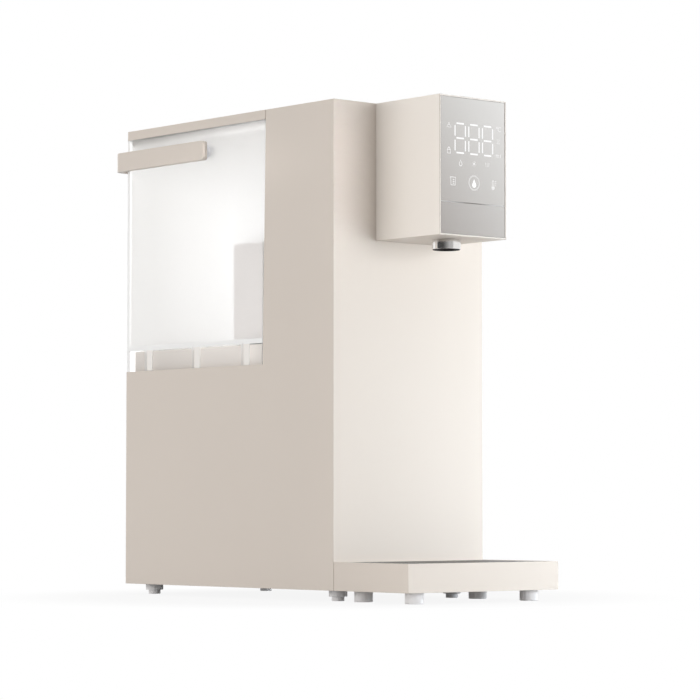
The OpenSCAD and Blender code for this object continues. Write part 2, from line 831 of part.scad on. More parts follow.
module rear_cover() {
  color(shell_beige) along_y(body_d - wall, wall) difference() {
    translate([-in_w, z_edge]) square([2 * in_w, z_deck - wall - z_edge]);
    translate([0, gland_z]) circle(d = gland_d + 2 * fit);
    for (s = [-1, 1], z = rear_screw_z) translate([s * screw_x, z]) circle(d = screw_d + 2 * gap);
    for (i = [0:vent_count - 1]) {
      translate([0, z_deck - wall - vent_down - i * vent_pitch]) slot(vent_l, vent_w);
    }
  }
}

module tank_bay_wall() {
  color(shell_beige) along_x(-in_w, 2 * in_w)
    polygon([[column_d - wall, z_deck], [column_d, z_deck], [column_top_d, z_top],
      [column_top_d - wall, z_top]]);
}

module tank_deck() {
  color(shell_beige) difference() {
    block([-in_w, column_d - wall, z_deck - wall], [in_w, body_d, z_deck]);
    at_docks() translate([0, 0, z_deck - wall - eps])
      cylinder(h = wall + 2 * eps, d = socket_d + 2 * fit);
  }
}

module tank_plinth() {
  y0 = column_d + plinth_end;
  y1 = body_d - plinth_end;
  in_half = plinth_half - wall;
  rim_top = floor_z - plinth_clear;
  color(shell_beige) difference() {
    block([-plinth_half, y0, z_deck], [plinth_half, y1, rim_top]);
    block([-in_half, y0 + wall, z_deck - eps], [in_half, y1 - wall, plinth_z - wall]);
    block([-in_half, y0 + wall, plinth_z], [in_half, y1 - wall, rim_top + eps]);
    at_docks() translate([0, 0, z_deck]) cylinder(h = plinth_h + eps, d = socket_d + 2 * fit);
  }
}

module foot_cups() {
  color(foot_grey) at_feet() difference() {
    union() {
      translate([0, 0, foot_pad_h]) cylinder(h = foot_h - foot_pad_h, d = foot_cup_d);
      cylinder_on(foot_h, base_t, foot_stud_d);
    }
    translate([0, 0, foot_pad_h - eps]) cylinder(h = foot_seat + eps, d = foot_pad_d + 2 * fit);
  }
}

// Stud that stands on a face and reaches a little into it
module cylinder_on(z, h, d) {
  translate([0, 0, z - eps]) cylinder(h = h + eps, d = d);
}

module foot_pads() {
  color(dark_grey) at_feet() cylinder(h = foot_pad_h + foot_seat, d = foot_pad_d);
}

module cord_gland() {
  inner = body_d - wall;
  color(black) difference() {
    union() {
      rod([0, inner - gland_nut_t, gland_z], [0, inner, gland_z], gland_flange_d);
      rod([0, inner - eps, gland_z], [0, body_d + eps, gland_z], gland_d);
      rod([0, body_d, gland_z], [0, body_d + gland_flange_t, gland_z], gland_flange_d);
      rod([0, body_d, gland_z], [0, body_d + gland_out, gland_z], (gland_d + gland_bore) / 2);
    }
    rod([0, inner - gland_nut_t - eps, gland_z], [0, body_d + gland_out + eps, gland_z], gland_bore);
  }
}

module housing_screws() {
  color(steel) {
    for (s = [-1, 1], z = rear_screw_z) screw(s * screw_x, body_d, z, wall + boss_l - thread_end);
    for (s = [-1, 1], z = head_boss_z) screw(s * head_boss_x, wall, z, wall + boss_l - thread_end);
  }
}

module head_shell() {
  half = head_w / 2;
  rib_x = half - head_wall - board_rib;
  color(shell_beige) difference() {
    union() {
      difference() {
        block([-half, -head_d, head_z], [half, 0, z_top]);
        block([head_wall - half, -head_d - eps, head_z + head_wall],
          [half - head_wall, eps, z_top - head_wall]);
        block([head_rim - half, -head_d - eps, head_z + head_rim],
          [half - head_rim, guide_y, z_top - head_rim]);
      }
      for (s = [-1, 1], z = head_boss_z) {
        rod([s * head_boss_x, -boss_l, z], [s * head_boss_x, 0, z], boss_d);
      }
      for (x = [[head_wall / 2 - half, -rib_x], [rib_x, half - head_wall / 2]]) {
        block([x[0], board_y + board_t, groove_z - board_low],
          [x[1], board_y + board_t + board_rib, z_top - board_down]);
      }
    }
    translate([0, outlet_y, head_z - eps]) cylinder(h = head_wall + 2 * eps, d = insert_d + 2 * fit);
    for (s = [-1, 1], z = head_boss_z) {
      rod([s * head_boss_x, thread_end / 2 - boss_l, z], [s * head_boss_x, eps, z], screw_d + 2 * fit);
    }
  }
}

// Plate in the head's front pocket between two heights
module front_plate(z0, z1) {
  half = head_w / 2 - head_rim - gap / 3;
  block([-half, glass_recess - head_d, z0], [half, guide_y, z1]);
}

module display_glass() {
  color(glass_grey) front_plate(groove_z + fascia_gap, z_top - head_rim - gap / 3);
}

module lower_fascia() {
  color(glass_grey) front_plate(head_z + head_rim + gap / 3, groove_z);
}

// Outline of one digit's seven segments
module digit() {
  w = digit_w - segment_w;
  h = digit_h - segment_w;
  for (z = [-1, 0, 1]) {
    translate([0, z * h / 2]) square([w - segment_w - segment_gap, segment_w], center = true);
  }
  for (x = [-1, 1], z = [-1, 1]) {
    translate([x * w / 2, z * h / 4]) square([segment_w, h / 2 - segment_w - segment_gap], center = true);
  }
}

module light_guide() {
  z = groove_z + digit_mid;
  color(white) along_y(guide_y, guide_t) difference() {
    translate([0, z])
      square([2 * digit_pitch + digit_w + 2 * guide_edge, digit_h + 2 * guide_edge], center = true);
    for (i = [-1:1]) translate([i * digit_pitch, z]) digit();
  }
}

module display_board() {
  half = head_w / 2 - head_wall - gap;
  color(board_green) block([-half, board_y, groove_z - board_low],
    [half, board_y + board_t, z_top - board_down]);
}

module touch_pads() {
  color(dark_grey) for (i = [-1:1]) {
    x = i * touch_pitch;
    rod([x, guide_y, groove_z + touch_h], [x, board_y, groove_z + touch_h], touch_d);
  }
}

module outlet_ring() {
  color(steel) translate([0, outlet_y, head_z - gap - outlet_h]) difference() {
    cylinder(h = outlet_h, d = outlet_d);
    translate([0, 0, -eps]) cylinder(h = outlet_h + 2 * eps, d = insert_d + 2 * fit);
  }
}

module outlet_insert() {
  low = head_z - gap - outlet_h + insert_in;
  top = head_z + head_wall + insert_flange_t;
  color(black) translate([0, outlet_y, 0]) difference() {
    union() {
      translate([0, 0, low]) cylinder(h = top - low, d = insert_d);
      translate([0, 0, top - insert_flange_t])
        cylinder(h = insert_flange_t, d = insert_d + 2 * insert_flange);
      nipple([0, 0, top], [0, 0, 1]);
    }
    translate([0, 0, low - eps]) cylinder(h = head_z - low, d = mouth_d);
    passage([0, 0, top], [0, 0, 1], top - head_z + eps);
  }
}

// Bayonet lugs of one cartridge, turned from their entry slots
module lugs(r, h, z, turn) {
  rotate([0, 0, turn]) block([-r, -lug_w / 2, z], [r, lug_w / 2, z + h]);
}

module filter_manifold() {
  half = manifold_half;
  u = [0, 1, 0];
  ports = [-filter_x - port_pitch, -filter_x + port_pitch, filter_x - port_pitch, filter_x,
    filter_x + port_pitch];
  color(white) difference() {
    union() {
      block([-half, manifold_y[0], manifold_z], [half, manifold_y[1], manifold_top]);
      for (x = ports) nipple([x, manifold_y[1], port_z], u);
    }
    at_filters() {
      translate([0, 0, nose_z - gap]) cylinder(h = manifold_t, r = socket_r);
      translate([0, 0, nose_z + 1])
        cylinder(h = ring_t + 2 * fit, r = filter_spigot_d / 2 + ring_t + 2 * fit);
      translate([0, 0, lug_z - gap]) cylinder(h = lug_h + 2 * gap, r = lug_r + gap);
      intersection() {
        lugs(lug_r + gap, manifold_t, lug_z - gap, lug_turn);
        translate([0, 0, manifold_z]) cylinder(h = 2 * manifold_t, r = lug_r + gap);
        block([-half, -half, lug_z - gap], [half, half, manifold_top + eps]);
      }
    }
    for (x = ports) passage([x, manifold_y[1], port_z], u, manifold_y[1] - filter_y);
  }
}

module manifold_stand() {
  y0 = manifold_y[0];
  y1 = manifold_y[1];
  x_in = manifold_half - post_w;
  low = manifold_z - frame_t;
  color(dark_grey) {
    difference() {
      block([-manifold_half, y0, low], [manifold_half, y1, manifold_z]);
      block([-x_in, y0 + post_w, low - eps], [x_in, y1 - post_w, manifold_z + eps]);
    }
    for (x = [-manifold_half, x_in], y = [y0, y1 - post_w]) {
      block([x, y, z_base], [x + post_w, y + post_w, low + frame_t / 2]);
    }
  }
}

// Seal ring lying flat with its inner radius and lower height
module seal_ring(r, z) {
  translate([0, 0, z + ring_t / 2]) rotate_extrude() translate([r + ring_t / 2, 0]) circle(d = ring_t);
}

module filter_seals() {
  color(black) at_filters() seal_ring(filter_spigot_d / 2 + fit, nose_z + 1 + fit);
}

module solenoid_valves() {
  coil_z = manifold_z - coil_neck_h - coil_h / 2;
  color(white) at_filters() translate([0, coil_back, coil_z]) {
    cylinder(h = coil_h / 2 + coil_neck_h, d = 0.7 * coil_w);
    cube([coil_w, coil_w, coil_h], center = true);
    translate([0, 0, -coil_h / 2 - coil_neck_h / 2]) cylinder(h = coil_neck_h, d = coil_w / 2);
  }
}

module pump_motor() {
  y0 = pump_y + pump_head_l;
  color(steel) {
    rod([pump_x, y0, pump_z], [pump_x, pump_y1, pump_z], pump_motor_d);
    rod([pump_x, pump_y1 - eps, pump_z], [pump_x, pump_y1 + cradle_t, pump_z], pump_motor_d / 3);
  }
}

module pump_head() {
  y1 = pump_y + pump_head_l;
  u = [0, -1, 0];
  color(dark_grey) difference() {
    union() {
      rod([pump_x, pump_y + pump_nose_l, pump_z], [pump_x, y1, pump_z], pump_head_d);
      rod([pump_x, pump_y, pump_z], [pump_x, y1, pump_z], pump_head_d - 2 * pump_nose_in);
      for (s = [-1, 1]) nipple([pump_x + s * pump_port, pump_y, pump_z], u);
    }
    for (s = [-1, 1]) passage([pump_x + s * pump_port, pump_y, pump_z], u, pump_nose_l / 2);
  }
}

module pump_bracket() {
  half = pump_motor_d / 2 - bracket_in;
  y0 = pump_y + pump_head_l;
  color(steel) difference() {
    union() {
      block([pump_x - half, y0 - bracket_front, bracket_z],
        [pump_x + half, pump_y1, bracket_z + bracket_t]);
      for (y = [y0 + cradle_in, pump_y1 - cradle_in - cradle_t]) {
        block([pump_x - half, y, bracket_z], [pump_x + half, y + cradle_t, pump_z - pump_motor_d / 5]);
      }
    }
    rod([pump_x, pump_y, pump_z], [pump_x, body_d, pump_z], pump_motor_d + 2 * fit);
  }
}

module pump_mounts() {
  half = pump_motor_d / 2 - bracket_in - mount_in;
  y0 = pump_y + pump_head_l - bracket_front;
  color(black) for (s = [-1, 1], y = [y0 + mount_in, pump_y1 - mount_in]) {
    translate([pump_x + s * half, y, z_base]) cylinder(h = pump_mount_h, d = pump_mount_d);
  }
}

module delivery_pump() {
  half = delivery_w / 2;
  y1 = delivery_y + delivery_head_l;
  front = [delivery_x, delivery_y, delivery_z];
  top = [delivery_x, feed_y, delivery_z + half];
  color(dark_grey) difference() {
    union() {
      block([delivery_x - half, delivery_y, delivery_z - half],
        [delivery_x + half, y1, delivery_z + half]);
      rod([delivery_x, y1 - eps, delivery_z], [delivery_x, y1 + delivery_motor_l, delivery_z],
        delivery_w);
      block([delivery_x - half / 2, delivery_y, z_base],
        [delivery_x + half / 2, y1 + delivery_motor_l / 2, delivery_z]);
      nipple(front, [0, -1, 0]);
      nipple(top, [0, 0, 1]);
    }
    passage(front, [0, -1, 0], half);
    passage(top, [0, 0, 1], half);
  }
}

module water_heater() {
  y1 = heater_y + 2 * heater_cap_t + heater_l;
  u = [0, -1, 0];
  color(steel) difference() {
    union() {
      rod([heater_x, heater_y, heater_z], [heater_x, y1, heater_z], heater_d);
      for (y = [heater_y, y1 - heater_cap_t]) {
        rod([heater_x, y, heater_z], [heater_x, y + heater_cap_t, heater_z], heater_cap_d);
      }
      for (s = [-1, 1]) nipple([heater_x, heater_y, heater_z + s * heater_port], u);
    }
    for (s = [-1, 1]) passage([heater_x, heater_y, heater_z + s * heater_port], u, 1.5 * heater_cap_t);
  }
}

module heater_clamps() {
  half = heater_clamp_w / 2;
  y0 = heater_y + heater_cap_t + heater_clamp_in;
  y1 = heater_y + heater_cap_t + heater_l - heater_clamp_in - heater_clamp_t;
  color(white) difference() {
    for (y = [y0, y1]) {
      block([heater_x - half, y, z_base], [heater_x + half, y + heater_clamp_t, heater_z]);
    }
    rod([heater_x, heater_y, heater_z], [heater_x, body_d, heater_z], heater_d + 2 * fit);
  }
}

module pure_water_tank() {
  w = pure_x[1] - pure_x[0];
  d = pure_y[1] - pure_y[0];
  c = [(pure_x[0] + pure_x[1]) / 2, (pure_y[0] + pure_y[1]) / 2];
  front = [filter_x, pure_y[0], pure_port_z];
  low = [delivery_x, feed_y, pure_z];
  color(white) difference() {
    union() {
      translate([c[0], c[1], pure_z]) linear_extrude(pure_h) rounded(w, d, pure_corner);
      for (x = [-1, 1], y = [-1, 1]) {
        translate([c[0] + x * (w / 2 - hanger_d), c[1] + y * (d / 2 - hanger_d), 0])
          cylinder_on(pure_z + pure_h, hanger_h, hanger_d);
      }
      nipple(front, [0, -1, 0]);
      nipple(low, [0, 0, -1]);
    }
    translate([c[0], c[1], pure_z + pure_wall]) linear_extrude(pure_h - 2 * pure_wall)
      rounded(w - 2 * pure_wall, d - 2 * pure_wall, pure_corner - pure_wall / 2);
    passage(front, [0, -1, 0], 2 * pure_wall);
    passage(low, [0, 0, -1], 2 * pure_wall);
  }
}

module board_bracket() {
  t = board_bracket_t;
  y1 = bracket_y + bracket_l;
  y = [main_board_y + standoff_in, main_board_y + main_board_l - standoff_in];
  z = [main_board_z + standoff_in, main_board_z + main_board_h - standoff_in];
  color(white) {
    block([bracket_x, bracket_y, z_base], [bracket_x + t, y1, bracket_top]);
    block([bracket_x - board_foot_w, bracket_y, z_base], [bracket_x + t / 2, y1, z_base + t]);
    for (i = [0, 1], j = [0, 1]) {
      rod([bracket_x + t / 2, y[i], z[j]], [bracket_x - standoff, y[i], z[j]], standoff_d);
    }
  }
}

module main_board() {
  color(board_green) block([main_board_x, main_board_y, main_board_z],
    [main_board_x + board_t, main_board_y + main_board_l, main_board_z + main_board_h]);
}

module board_parts() {
  x = main_board_x;
  l = main_board_l / 10;
  h = main_board_h / 10;
  color(dark_grey) translate([0, main_board_y, main_board_z]) {
    block([x - part_h, l, h], [x, 3 * l, 4 * h]);
    for (i = [0:2]) {
      block([x - 0.7 * part_h, (3.5 + 1.4 * i) * l, 6 * h], [x, (4.5 + 1.4 * i) * l, 8.6 * h]);
    }
    for (i = [0:1]) {
      y = (4.5 + 1.7 * i) * l;
      rod([x, y, 3 * h], [x - part_h, y, 3 * h], part_h * 0.8);
    }
    block([x - part_h / 2, 7.8 * l, 1.4 * h], [x, 9.4 * l, 3.6 * h]);
  }
}

module dock_sockets() {
  color(dark_grey) at_docks() difference() {
    union() {
      translate([0, 0, socket_z]) cylinder(h = plinth_z - socket_z + eps, d = socket_d);
      translate([0, 0, plinth_z]) cylinder(h = socket_flange_t, d = socket_flange_d);
      translate([0, 0, sump_z]) cylinder(h = sump_h + eps, d = sump_d);
      nipple([0, 0, sump_z], [0, 0, -1]);
    }
    difference() {
      translate([0, 0, socket_z + socket_floor]) cylinder(h = 2 * plinth_h, r = socket_bore);
      cylinder(h = post_z, d = stem_d);
    }
    for (i = [0:3]) rotate([0, 0, 45 + i * 90]) {
      translate([(stem_d + 2 * water_hole) / 2, 0, sump_z + sump_h / 2])
        cylinder(h = sump_h, d = water_hole);
    }
    translate([0, 0, sump_z + sump_h / 2]) cylinder(h = sump_h / 2, d = sump_d - water_hole);
    passage([0, 0, sump_z], [0, 0, -1], sump_h - eps);
  }
}

module dock_hoses() {
  z0 = sump_z - gap;
  color(hose_tint) for (s = [-1, 1]) {
    x = s * dock_x;
    hose([[x, dock_y, z0], [x, dock_y, port_z], [x, manifold_y[1] + gap, port_z]]);
  }
}

module pump_hoses() {
  y0 = manifold_y[1] + gap;
  y1 = pump_y - gap;
  x_in = pump_x - pump_port;
  x_out = pump_x + pump_port;
  x_end = filter_x + port_pitch;
  y_in = pump_y - hose_lead;
  y_out = pump_y - hose_lead;
  z_mid = (pump_z + port_z) / 2;
  color(hose_tint) {
    hose([[x_in, y0, port_z], [x_in, y_in, port_z], [x_in, y_in, pump_z], [x_in, y1, pump_z]]);
    hose([[x_out, y1, pump_z], [x_out, y_out, pump_z], [x_out, y_out, z_mid], [x_end, y_out, z_mid],
      [x_end, y_out, port_z], [x_end, y0, port_z]]);
  }
}

module pure_hose() {
  y_up = dock_y - 2 * hose_d;
  color(hose_tint) hose([[filter_x, manifold_y[1] + gap, port_z], [filter_x, y_up, port_z],
    [filter_x, y_up, pure_port_z], [filter_x, pure_y[0] - gap, pure_port_z]]);
}

module feed_hoses() {
  z_in = heater_z + heater_port;
  y_turn = heater_y - hose_lead;
  color(hose_tint) {
    hose([[delivery_x, feed_y, pure_z - gap], [delivery_x, feed_y, delivery_z + delivery_w / 2 + gap]]);
    hose([[delivery_x, delivery_y - gap, delivery_z], [delivery_x, y_turn, delivery_z],
      [delivery_x, y_turn, z_in],
      [heater_x, y_turn, z_in], [heater_x, heater_y - gap, z_in]]);
  }
}

module outlet_hose() {
  z1 = head_z + head_wall + insert_flange_t + gap;
  color(hose_tint) hose([[heater_x, heater_y - gap, hose_low_z], [heater_x, hose_front_y, hose_low_z],
    [0, hose_front_y, hose_low_z], [0, hose_front_y, hose_head_z], [0, outlet_y, hose_head_z],
    [0, outlet_y, z1]]);
}

module filter_cover() {
  y0 = wall + gap;
  y1 = column_top_d - wall - gap;
  x = in_w - gap;
  rim = cover_rim_in;
  color(shell_beige) {
    block([-x, y0, z_top - wall], [x, y1, z_top]);
    difference() {
      block([rim - x, y0 + rim, z_top - wall - cover_rim_h], [x - rim, y1 - rim, z_top - wall + eps]);
      block([rim + wall - x, y0 + rim + wall, 0], [x - rim - wall, y1 - rim - wall, z_top - wall]);
    }
  }
}

// Filter cartridge with a spigot, bayonet lugs and a grip
module cartridge(s) {
  top = z_top - wall - cover_rim_h - cover_space;
  cap_z = top - grip_h - cap_h;
  body_z = manifold_top + gap + cap_h;
  r = cartridge_d / 2;
  translate([s * filter_x, filter_y, 0]) {
    translate([0, 0, nose_z]) cylinder(h = body_z - nose_z, d = filter_spigot_d);
    intersection() {
      lugs(lug_r, lug_h, lug_z, 0);
      cylinder(h = z_top, r = lug_r);
    }
    translate([0, 0, manifold_top + gap]) cylinder(h = cap_h + eps, r = r - neck_in);
    translate([0, 0, body_z]) cylinder(h = cap_z - body_z, r = r);
    translate([0, 0, cap_z - eps]) cylinder(h = cap_h + eps, r = r - cap_in);
    block([neck_in - r, -grip_t / 2, top - grip_h - eps], [r - neck_in, grip_t / 2, top]);
  }
}

module prefilter_cartridge() {
  color(white) cartridge(-1);
}

module membrane_cartridge() {
  color([0.80, 0.85, 0.90]) cartridge(1);
}

module water_tank() {
  mid_y = (column_d + body_d) / 2 - rib_forward;
  color(clear) difference() {
    union() {
      difference() {
        tank_prism(z_deck, rim_z, 0);
        tank_prism(water_z, rim_z + eps, tank_wall);
        tank_prism(z_deck - eps, floor_z, tank_wall);
      }
      for (s = [-1, 1], i = [-1:1]) {
        x0 = s > 0 ? half_w - tank_wall - rib_d : tank_wall / 2 - half_w;
        y = mid_y + i * rib_pitch;
        block([x0, y - rib_w / 2, z_deck], [x0 + rib_d + tank_wall / 2, y + rib_w / 2, floor_z + eps]);
      }
    }
    at_docks() translate([0, 0, floor_z - eps])
      cylinder(h = tank_floor_t + 2 * eps, d = spigot_d + 2 * fit);
    rod([-half_w - eps, pivot_y, pivot_z], [half_w + eps, pivot_y, pivot_z], pivot_stud_d + 2 * fit);
  }
}

module valve_bodies() {
  r = spigot_d / 2;
  window_z = water_z + valve_flange_t + window_d / 2 + gap;
  color(white) at_docks() difference() {
    union() {
      translate([0, 0, spigot_z]) cylinder(h = tower_z - spigot_z, r = r);
      translate([0, 0, water_z]) cylinder(h = valve_flange_t, r = r + valve_flange);
    }
    translate([0, 0, spigot_z - eps]) cylinder(h = seat_t + 2 * eps, d = seat_d);
    translate([0, 0, seat_z]) cylinder(h = tower_z - web_t - seat_z, d = chamber_d);
    translate([0, 0, tower_z - web_t - eps]) cylinder(h = web_t + 2 * eps, d = stem_d + 2 * fit);
    for (i = [0:3]) rotate([0, 0, 45 + i * 90]) {
      translate([chamber_d / 3, 0, tower_z - web_t - eps]) cylinder(h = web_t + 2 * eps, d = water_hole);
    }
    for (a = [0, 90]) rotate([0, 0, a]) {
      rod([-r - eps, 0, window_z], [r + eps, 0, window_z], window_d);
    }
    translate([0, 0, spigot_z + ring_up]) difference() {
      cylinder(h = ring_t + 2 * fit, r = r + eps);
      translate([0, 0, -eps]) cylinder(h = ring_t + 3 * eps, r = r + gap - 2 * fit - ring_t);
    }
  }
}

module valve_seals() {
  color(black) at_docks() seal_ring(spigot_d / 2 + gap - fit - ring_t, spigot_z + ring_up + fit);
}

module valve_springs() {
  z0 = poppet_z + poppet_t + fit;
  color(steel) at_docks() difference() {
    translate([0, 0, z0]) cylinder(h = tower_z - web_t - fit - z0, d = spring_d);
    translate([0, 0, z0 - eps]) cylinder(h = tower_z, d = spring_d - 2 * spring_t);
  }
}

module valve_poppets() {
  color(dark_grey) at_docks() {
    translate([0, 0, poppet_z]) cylinder(h = poppet_t, d = poppet_d);
    translate([0, 0, post_z + gap]) cylinder(h = tower_z + web_t / 2 - post_z, d = stem_d);
  }
}

module handle_pins() {
  inner = half_w - tank_wall - 2 * fit;
  z = pivot_z;
  color(foot_grey) for (s = [-1, 1]) {
    rod([s * (inner - pivot_head_t), pivot_y, z], [s * inner, pivot_y, z], pivot_boss_d - cage_t);
    rod([s * (inner - eps), pivot_y, z], [s * half_w, pivot_y, z], pivot_stud_d);
    rod([s * (half_w + 2 * fit), pivot_y, z], [s * (arm_in - gap), pivot_y, z], pivot_boss_d);
    rod([s * (half_w - eps), pivot_y, z], [s * (arm_in + pivot_l - gap), pivot_y, z], pivot_stud_d);
    rod([s * (arm_in - gap - eps), pivot_y, z], [s * (arm_in + pivot_l - gap), pivot_y, z], pivot_d);
  }
}

module float_cage() {
  x0 = -half_w + tank_wall + cage_gap;
  y0 = cage_y;
  x1 = x0 + cage_w;
  y1 = y0 + cage_d;
  z1 = water_z + cage_h;
  color(foot_grey) difference() {
    block([x0, y0, water_z], [x1, y1, z1]);
    block([x0 + cage_t, y0 + cage_t, water_z + cage_t], [x1 - cage_t, y1 - cage_t, z1 - cage_t]);
    for (i = [-1:1]) {
      y = (y0 + y1 + i * (cage_d - 2 * cage_edge - cage_slot)) / 2;
      block([x0 + cage_t, y - cage_slot / 2, water_z + cage_edge],
        [x1 + eps, y + cage_slot / 2, z1 - cage_edge]);
    }
    block([x0 + cage_edge, y0 + cage_edge, z1 - 2 * cage_t], [x1 - cage_edge, y1 - cage_edge, z1 + eps]);
  }
}

module level_float() {
  c = cage_t + float_gap;
  x0 = -half_w + tank_wall + cage_gap;
  y0 = cage_y;
  z0 = water_z + cage_t;
  color(white) block([x0 + c, y0 + c, z0], [x0 + cage_w - c, y0 + cage_d - c, z0 + float_h]);
}

module tank_lid() {
  inset = tank_wall + plug_gap;
  color(shell_beige) difference() {
    union() {
      tank_prism(rim_z, z_top, 0);
      difference() {
        tank_prism(rim_z - plug_h, rim_z + eps, inset);
        tank_prism(rim_z - plug_h - eps, rim_z, inset + plug_t);
      }
    }
    translate([0, body_d - air_back, rim_z - eps]) cylinder(h = lid_t + 2 * eps, d = air_hole);
  }
}

module lid_seal() {
  z0 = rim_z - seal_down - seal_h;
  color(white) difference() {
    tank_prism(z0, z0 + seal_h, tank_wall + gap);
    tank_prism(z0 - eps, z0 + seal_h + eps, tank_wall + plug_gap);
  }
}

module carry_handle() {
  y0 = pivot_y - bail_h / 2;
  y1 = body_d + bail_out;
  out = half_w + bail_out;
  end_r = bail_t / 2;
  color(shell_beige) difference() {
    intersection() {
      translate([0, 0, pivot_z - bail_h / 2]) linear_extrude(bail_h) {
        difference() {
          rear_rounded(out, y0 + end_r, y1, bail_corner);
          rear_rounded(out - bail_t, y0, y1 - bail_t, bail_corner - bail_t);
        }
        for (s = [-1, 1]) translate([s * (out - end_r), y0 + end_r]) circle(r = end_r);
      }
      along_x(-out - eps, 2 * out + 2 * eps) translate([y0, pivot_z - bail_h / 2]) {
        translate([bail_end_r, 0]) square([y1, bail_h]);
        translate([0, bail_end_r]) square([y1, bail_h - 2 * bail_end_r]);
        for (z = [bail_end_r, bail_h - bail_end_r]) translate([bail_end_r, z]) circle(r = bail_end_r);
      }
    }
    rod([-arm_in - pivot_l, pivot_y, pivot_z], [arm_in + pivot_l, pivot_y, pivot_z], pivot_d + 2 * fit);
  }
}

module drip_tray() {
  in_rim = tray_half - tray_rim;
  in_low = in_rim - tray_ledge;
  y1 = -gap;
  seat_z = tray_z - grille_t - gap;
  color(shell_beige) difference() {
    union() {
      block([-tray_half, -tray_d, z_edge], [tray_half, y1, tray_z]);
      for (s = [-1, 1]) {
        block([s * tongue_x - tongue_w / 2, y1 - eps, z_edge + tongue_up],
          [s * tongue_x + tongue_w / 2, tongue_l, z_edge + tongue_up + tongue_h]);
      }
    }
    block([-in_rim, tray_rim - tray_d, seat_z], [in_rim, y1 - tray_rim, tray_z + eps]);
    block([-in_low, tray_rim + tray_ledge - tray_d, z_edge + tray_wall],
      [in_low, y1 - tray_rim - tray_ledge, tray_z]);
    at_tray_feet() translate([0, 0, z_edge - eps])
      cylinder(h = tray_wall + 2 * eps, d = foot_stud_d + 2 * fit);
  }
}

module tray_feet() {
  color(foot_grey) at_tray_feet() {
    cylinder(h = foot_h, d = tray_foot_d);
    cylinder_on(foot_h, tray_wall, foot_stud_d);
  }
}

module drip_grille() {
  half = tray_half - tray_rim - gap;
  y0 = tray_rim + gap - tray_d;
  y1 = -tray_rim - 2 * gap;
  slot_l = y1 - y0 - 2 * grille_edge;
  count = floor((half - grille_edge - grille_slot / 2) / grille_pitch);
  color(steel) translate([0, 0, tray_z - grille_t - gap]) linear_extrude(grille_t) difference() {
    translate([-half, y0]) square([2 * half, y1 - y0]);
    for (i = [-count:count]) {
      translate([i * grille_pitch, (y0 + y1) / 2]) rotate(90) slot(slot_l, grille_slot);
    }
  }
}

in_row() base_plate();
in_row() left_side_cover();
in_row() right_side_cover();
in_row() front_cover();
in_row() rear_cover();
in_row() tank_bay_wall();
in_row() tank_deck();
in_row() tank_plinth();
in_row() foot_cups();
in_row() foot_pads();
in_row() cord_gland();
in_row() housing_screws();
in_row() head_shell();
in_row() display_glass();
in_row() lower_fascia();
in_row() light_guide();
in_row() display_board();
in_row() touch_pads();
in_row() outlet_ring();
in_row() outlet_insert();
in_row() filter_manifold();
in_row() manifold_stand();
in_row() filter_seals();
in_row() solenoid_valves();
in_row() pump_motor();
in_row() pump_head();
in_row() pump_bracket();
in_row() pump_mounts();
in_row() delivery_pump();
in_row() water_heater();
in_row() heater_clamps();
in_row() pure_water_tank();
in_row() main_board();
in_row() board_parts();
in_row() board_bracket();
in_row() dock_sockets();
in_row() dock_hoses();
in_row() pump_hoses();
in_row() pure_hose();
in_row() feed_hoses();
in_row() outlet_hose();
in_row() filter_cover();
in_row() prefilter_cartridge();
in_row() membrane_cartridge();
in_row() water_tank();
in_row() valve_bodies();
in_row() valve_seals();
in_row() valve_springs();
in_row() valve_poppets();
in_row() handle_pins();
in_row() float_cage();
in_row() level_float();
in_row() tank_lid();
in_row() lid_seal();
in_row() carry_handle();
in_row() drip_tray();
in_row() tray_feet();
in_row() drip_grille();
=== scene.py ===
# Looks of a countertop water dispenser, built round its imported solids. Metres, in the frame of the solids.
import json
from math import cos, pi, radians, sin

import bmesh
import bpy
from mathutils import Matrix, Vector

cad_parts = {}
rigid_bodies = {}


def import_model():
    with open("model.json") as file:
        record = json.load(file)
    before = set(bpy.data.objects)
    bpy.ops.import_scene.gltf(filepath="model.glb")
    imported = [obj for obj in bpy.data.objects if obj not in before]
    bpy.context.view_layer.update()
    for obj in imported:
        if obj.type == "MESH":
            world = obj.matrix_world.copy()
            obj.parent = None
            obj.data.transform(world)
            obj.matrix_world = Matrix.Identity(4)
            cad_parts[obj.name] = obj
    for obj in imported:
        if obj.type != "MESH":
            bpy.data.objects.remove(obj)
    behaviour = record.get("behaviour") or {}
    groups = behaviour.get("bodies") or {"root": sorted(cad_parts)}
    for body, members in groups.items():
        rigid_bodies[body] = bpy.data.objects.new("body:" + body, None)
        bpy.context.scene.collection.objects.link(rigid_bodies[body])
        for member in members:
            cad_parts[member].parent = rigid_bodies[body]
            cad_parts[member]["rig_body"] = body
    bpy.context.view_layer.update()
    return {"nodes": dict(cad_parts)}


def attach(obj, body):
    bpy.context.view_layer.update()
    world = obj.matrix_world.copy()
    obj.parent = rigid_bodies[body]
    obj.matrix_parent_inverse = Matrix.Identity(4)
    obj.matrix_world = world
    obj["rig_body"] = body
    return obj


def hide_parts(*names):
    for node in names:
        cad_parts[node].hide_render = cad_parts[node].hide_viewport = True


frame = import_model()
scene = bpy.context.scene
mm = 0.001
mergeGap = 1e-6  # metres
cutGap = 1e-7
print("frame:", len(frame["nodes"]), "nodes")

